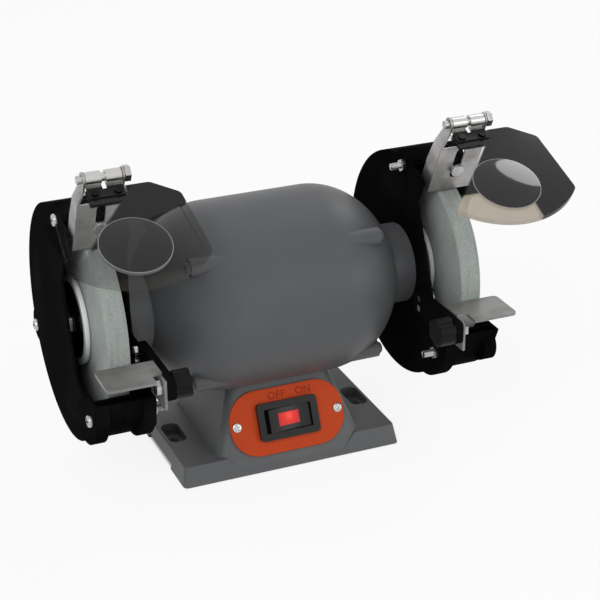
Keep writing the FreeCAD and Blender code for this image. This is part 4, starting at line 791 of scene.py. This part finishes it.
def markPlate(spec):
    for word, across in spec["words"]:
        curve = bpy.data.curves.new("mark" + word, "FONT")
        curve.body = word
        curve.size = spec["size"]
        curve.extrude = spec["raise"]
        curve.align_x = "CENTER"
        curve.space_character = spec["spacing"]
        letters = bpy.data.objects.new("mark" + word, curve)
        bpy.context.scene.collection.objects.link(letters)
        spot = onPanel(across, spec["up"], panel["plate"])[0]
        lean = Matrix.Rotation(math.radians(panel["tilt"]), 4, "X")
        letters.matrix_world = Matrix.Translation(spot) @ lean
        bpy.context.view_layer.update()
        graph = bpy.context.evaluated_depsgraph_get()
        mesh = bpy.data.meshes.new_from_object(letters.evaluated_get(graph))
        mesh.transform(letters.matrix_world)
        bpy.data.objects.remove(letters)
        addPiece("switchMark" + word, mesh, "frame", "markInk")


markPlate(marks)
print("switch marked")


# white studio with three soft lamps, each with its name, place, width and power
studio = {"floor": rgb(0.92, 0.92, 0.92), "glow": 0.88, "sky": 0.50, "under": (0.087, 0.058),
          "underBlend": 0.004, "half": 6, "aim": (0, 0, 0.13),
          "lamps": (("keyLamp", (-1.1, -1.3, 1.5), 1.1, 12.0), ("topLamp", (1.40, 0.70, 1.7), 0.75, 8.0),
                    ("fillLamp", (1.3, -1.5, 0.7), 1.2, 6.0))}


def seenRay(w):
    path = w.node("ShaderNodeLightPath", None, None, "Is Camera Ray")
    outs = path.socket.node.outputs
    glossy, through = Wire(w.tree, outs["Is Glossy Ray"]), Wire(w.tree, outs["Is Transmission Ray"])
    return w.maths("MAXIMUM", path, w.maths("MAXIMUM", glossy, through))


def openFloor(w, spec):
    # 1 on the open floor, 0 under the base, so that its holes look dark
    out = []
    for reach, edge in zip(parts(w, place(w)), spec["under"]):
        out.append(fade(w, w.maths("ABSOLUTE", reach), edge - spec["underBlend"], edge))
    return w.maths("MAXIMUM", *out)


def buildStudio(spec):
    floorShape = bmesh.new()
    bmesh.ops.create_grid(floorShape, x_segments=4, y_segments=4, size=spec["half"])
    mesh = meshOf(floorShape, "studioFloor")
    floor = bpy.data.objects.new("studioFloor", mesh)
    bpy.context.scene.collection.objects.link(floor)
    material, w = newFinish("studioFloor")
    matt = w.node("ShaderNodeBsdfDiffuse", None, {"Color": spec["floor"], "Roughness": 0.5})
    white = w.node("ShaderNodeEmission", None, {"Color": rgb(1, 1, 1), "Strength": 1.0})
    shown = seenRay(w) * openFloor(w, spec) * spec["glow"]
    mixed = w.node("ShaderNodeMixShader", None, {0: shown, 1: matt, 2: white})
    w.node("ShaderNodeOutputMaterial", None, {"Surface": mixed})
    mesh.materials.append(material)
    world = bpy.data.worlds.new("studioSky")
    bpy.context.scene.world = world
    world.use_nodes = True
    world.node_tree.nodes.clear()
    sky = Wire(world.node_tree)
    strength = spec["sky"] + seenRay(sky) * (1 - spec["sky"])
    light = sky.node("ShaderNodeBackground", None, {"Color": rgb(1, 1, 1), "Strength": strength})
    sky.node("ShaderNodeOutputWorld", None, {"Surface": light})
    for name, spot, size, power in spec["lamps"]:
        data = bpy.data.lights.new(name, "AREA")
        data.shape, data.size, data.energy = "DISK", size, power
        lampObject = bpy.data.objects.new(name, data)
        lampObject.location = spot
        aim = Vector(spec["aim"]) - Vector(spot)
        lampObject.rotation_euler = aim.to_track_quat("-Z", "Y").to_euler()
        bpy.context.scene.collection.objects.link(lampObject)


buildStudio(studio)
bpy.context.scene.view_settings.view_transform = "Standard"
print("studio lit")
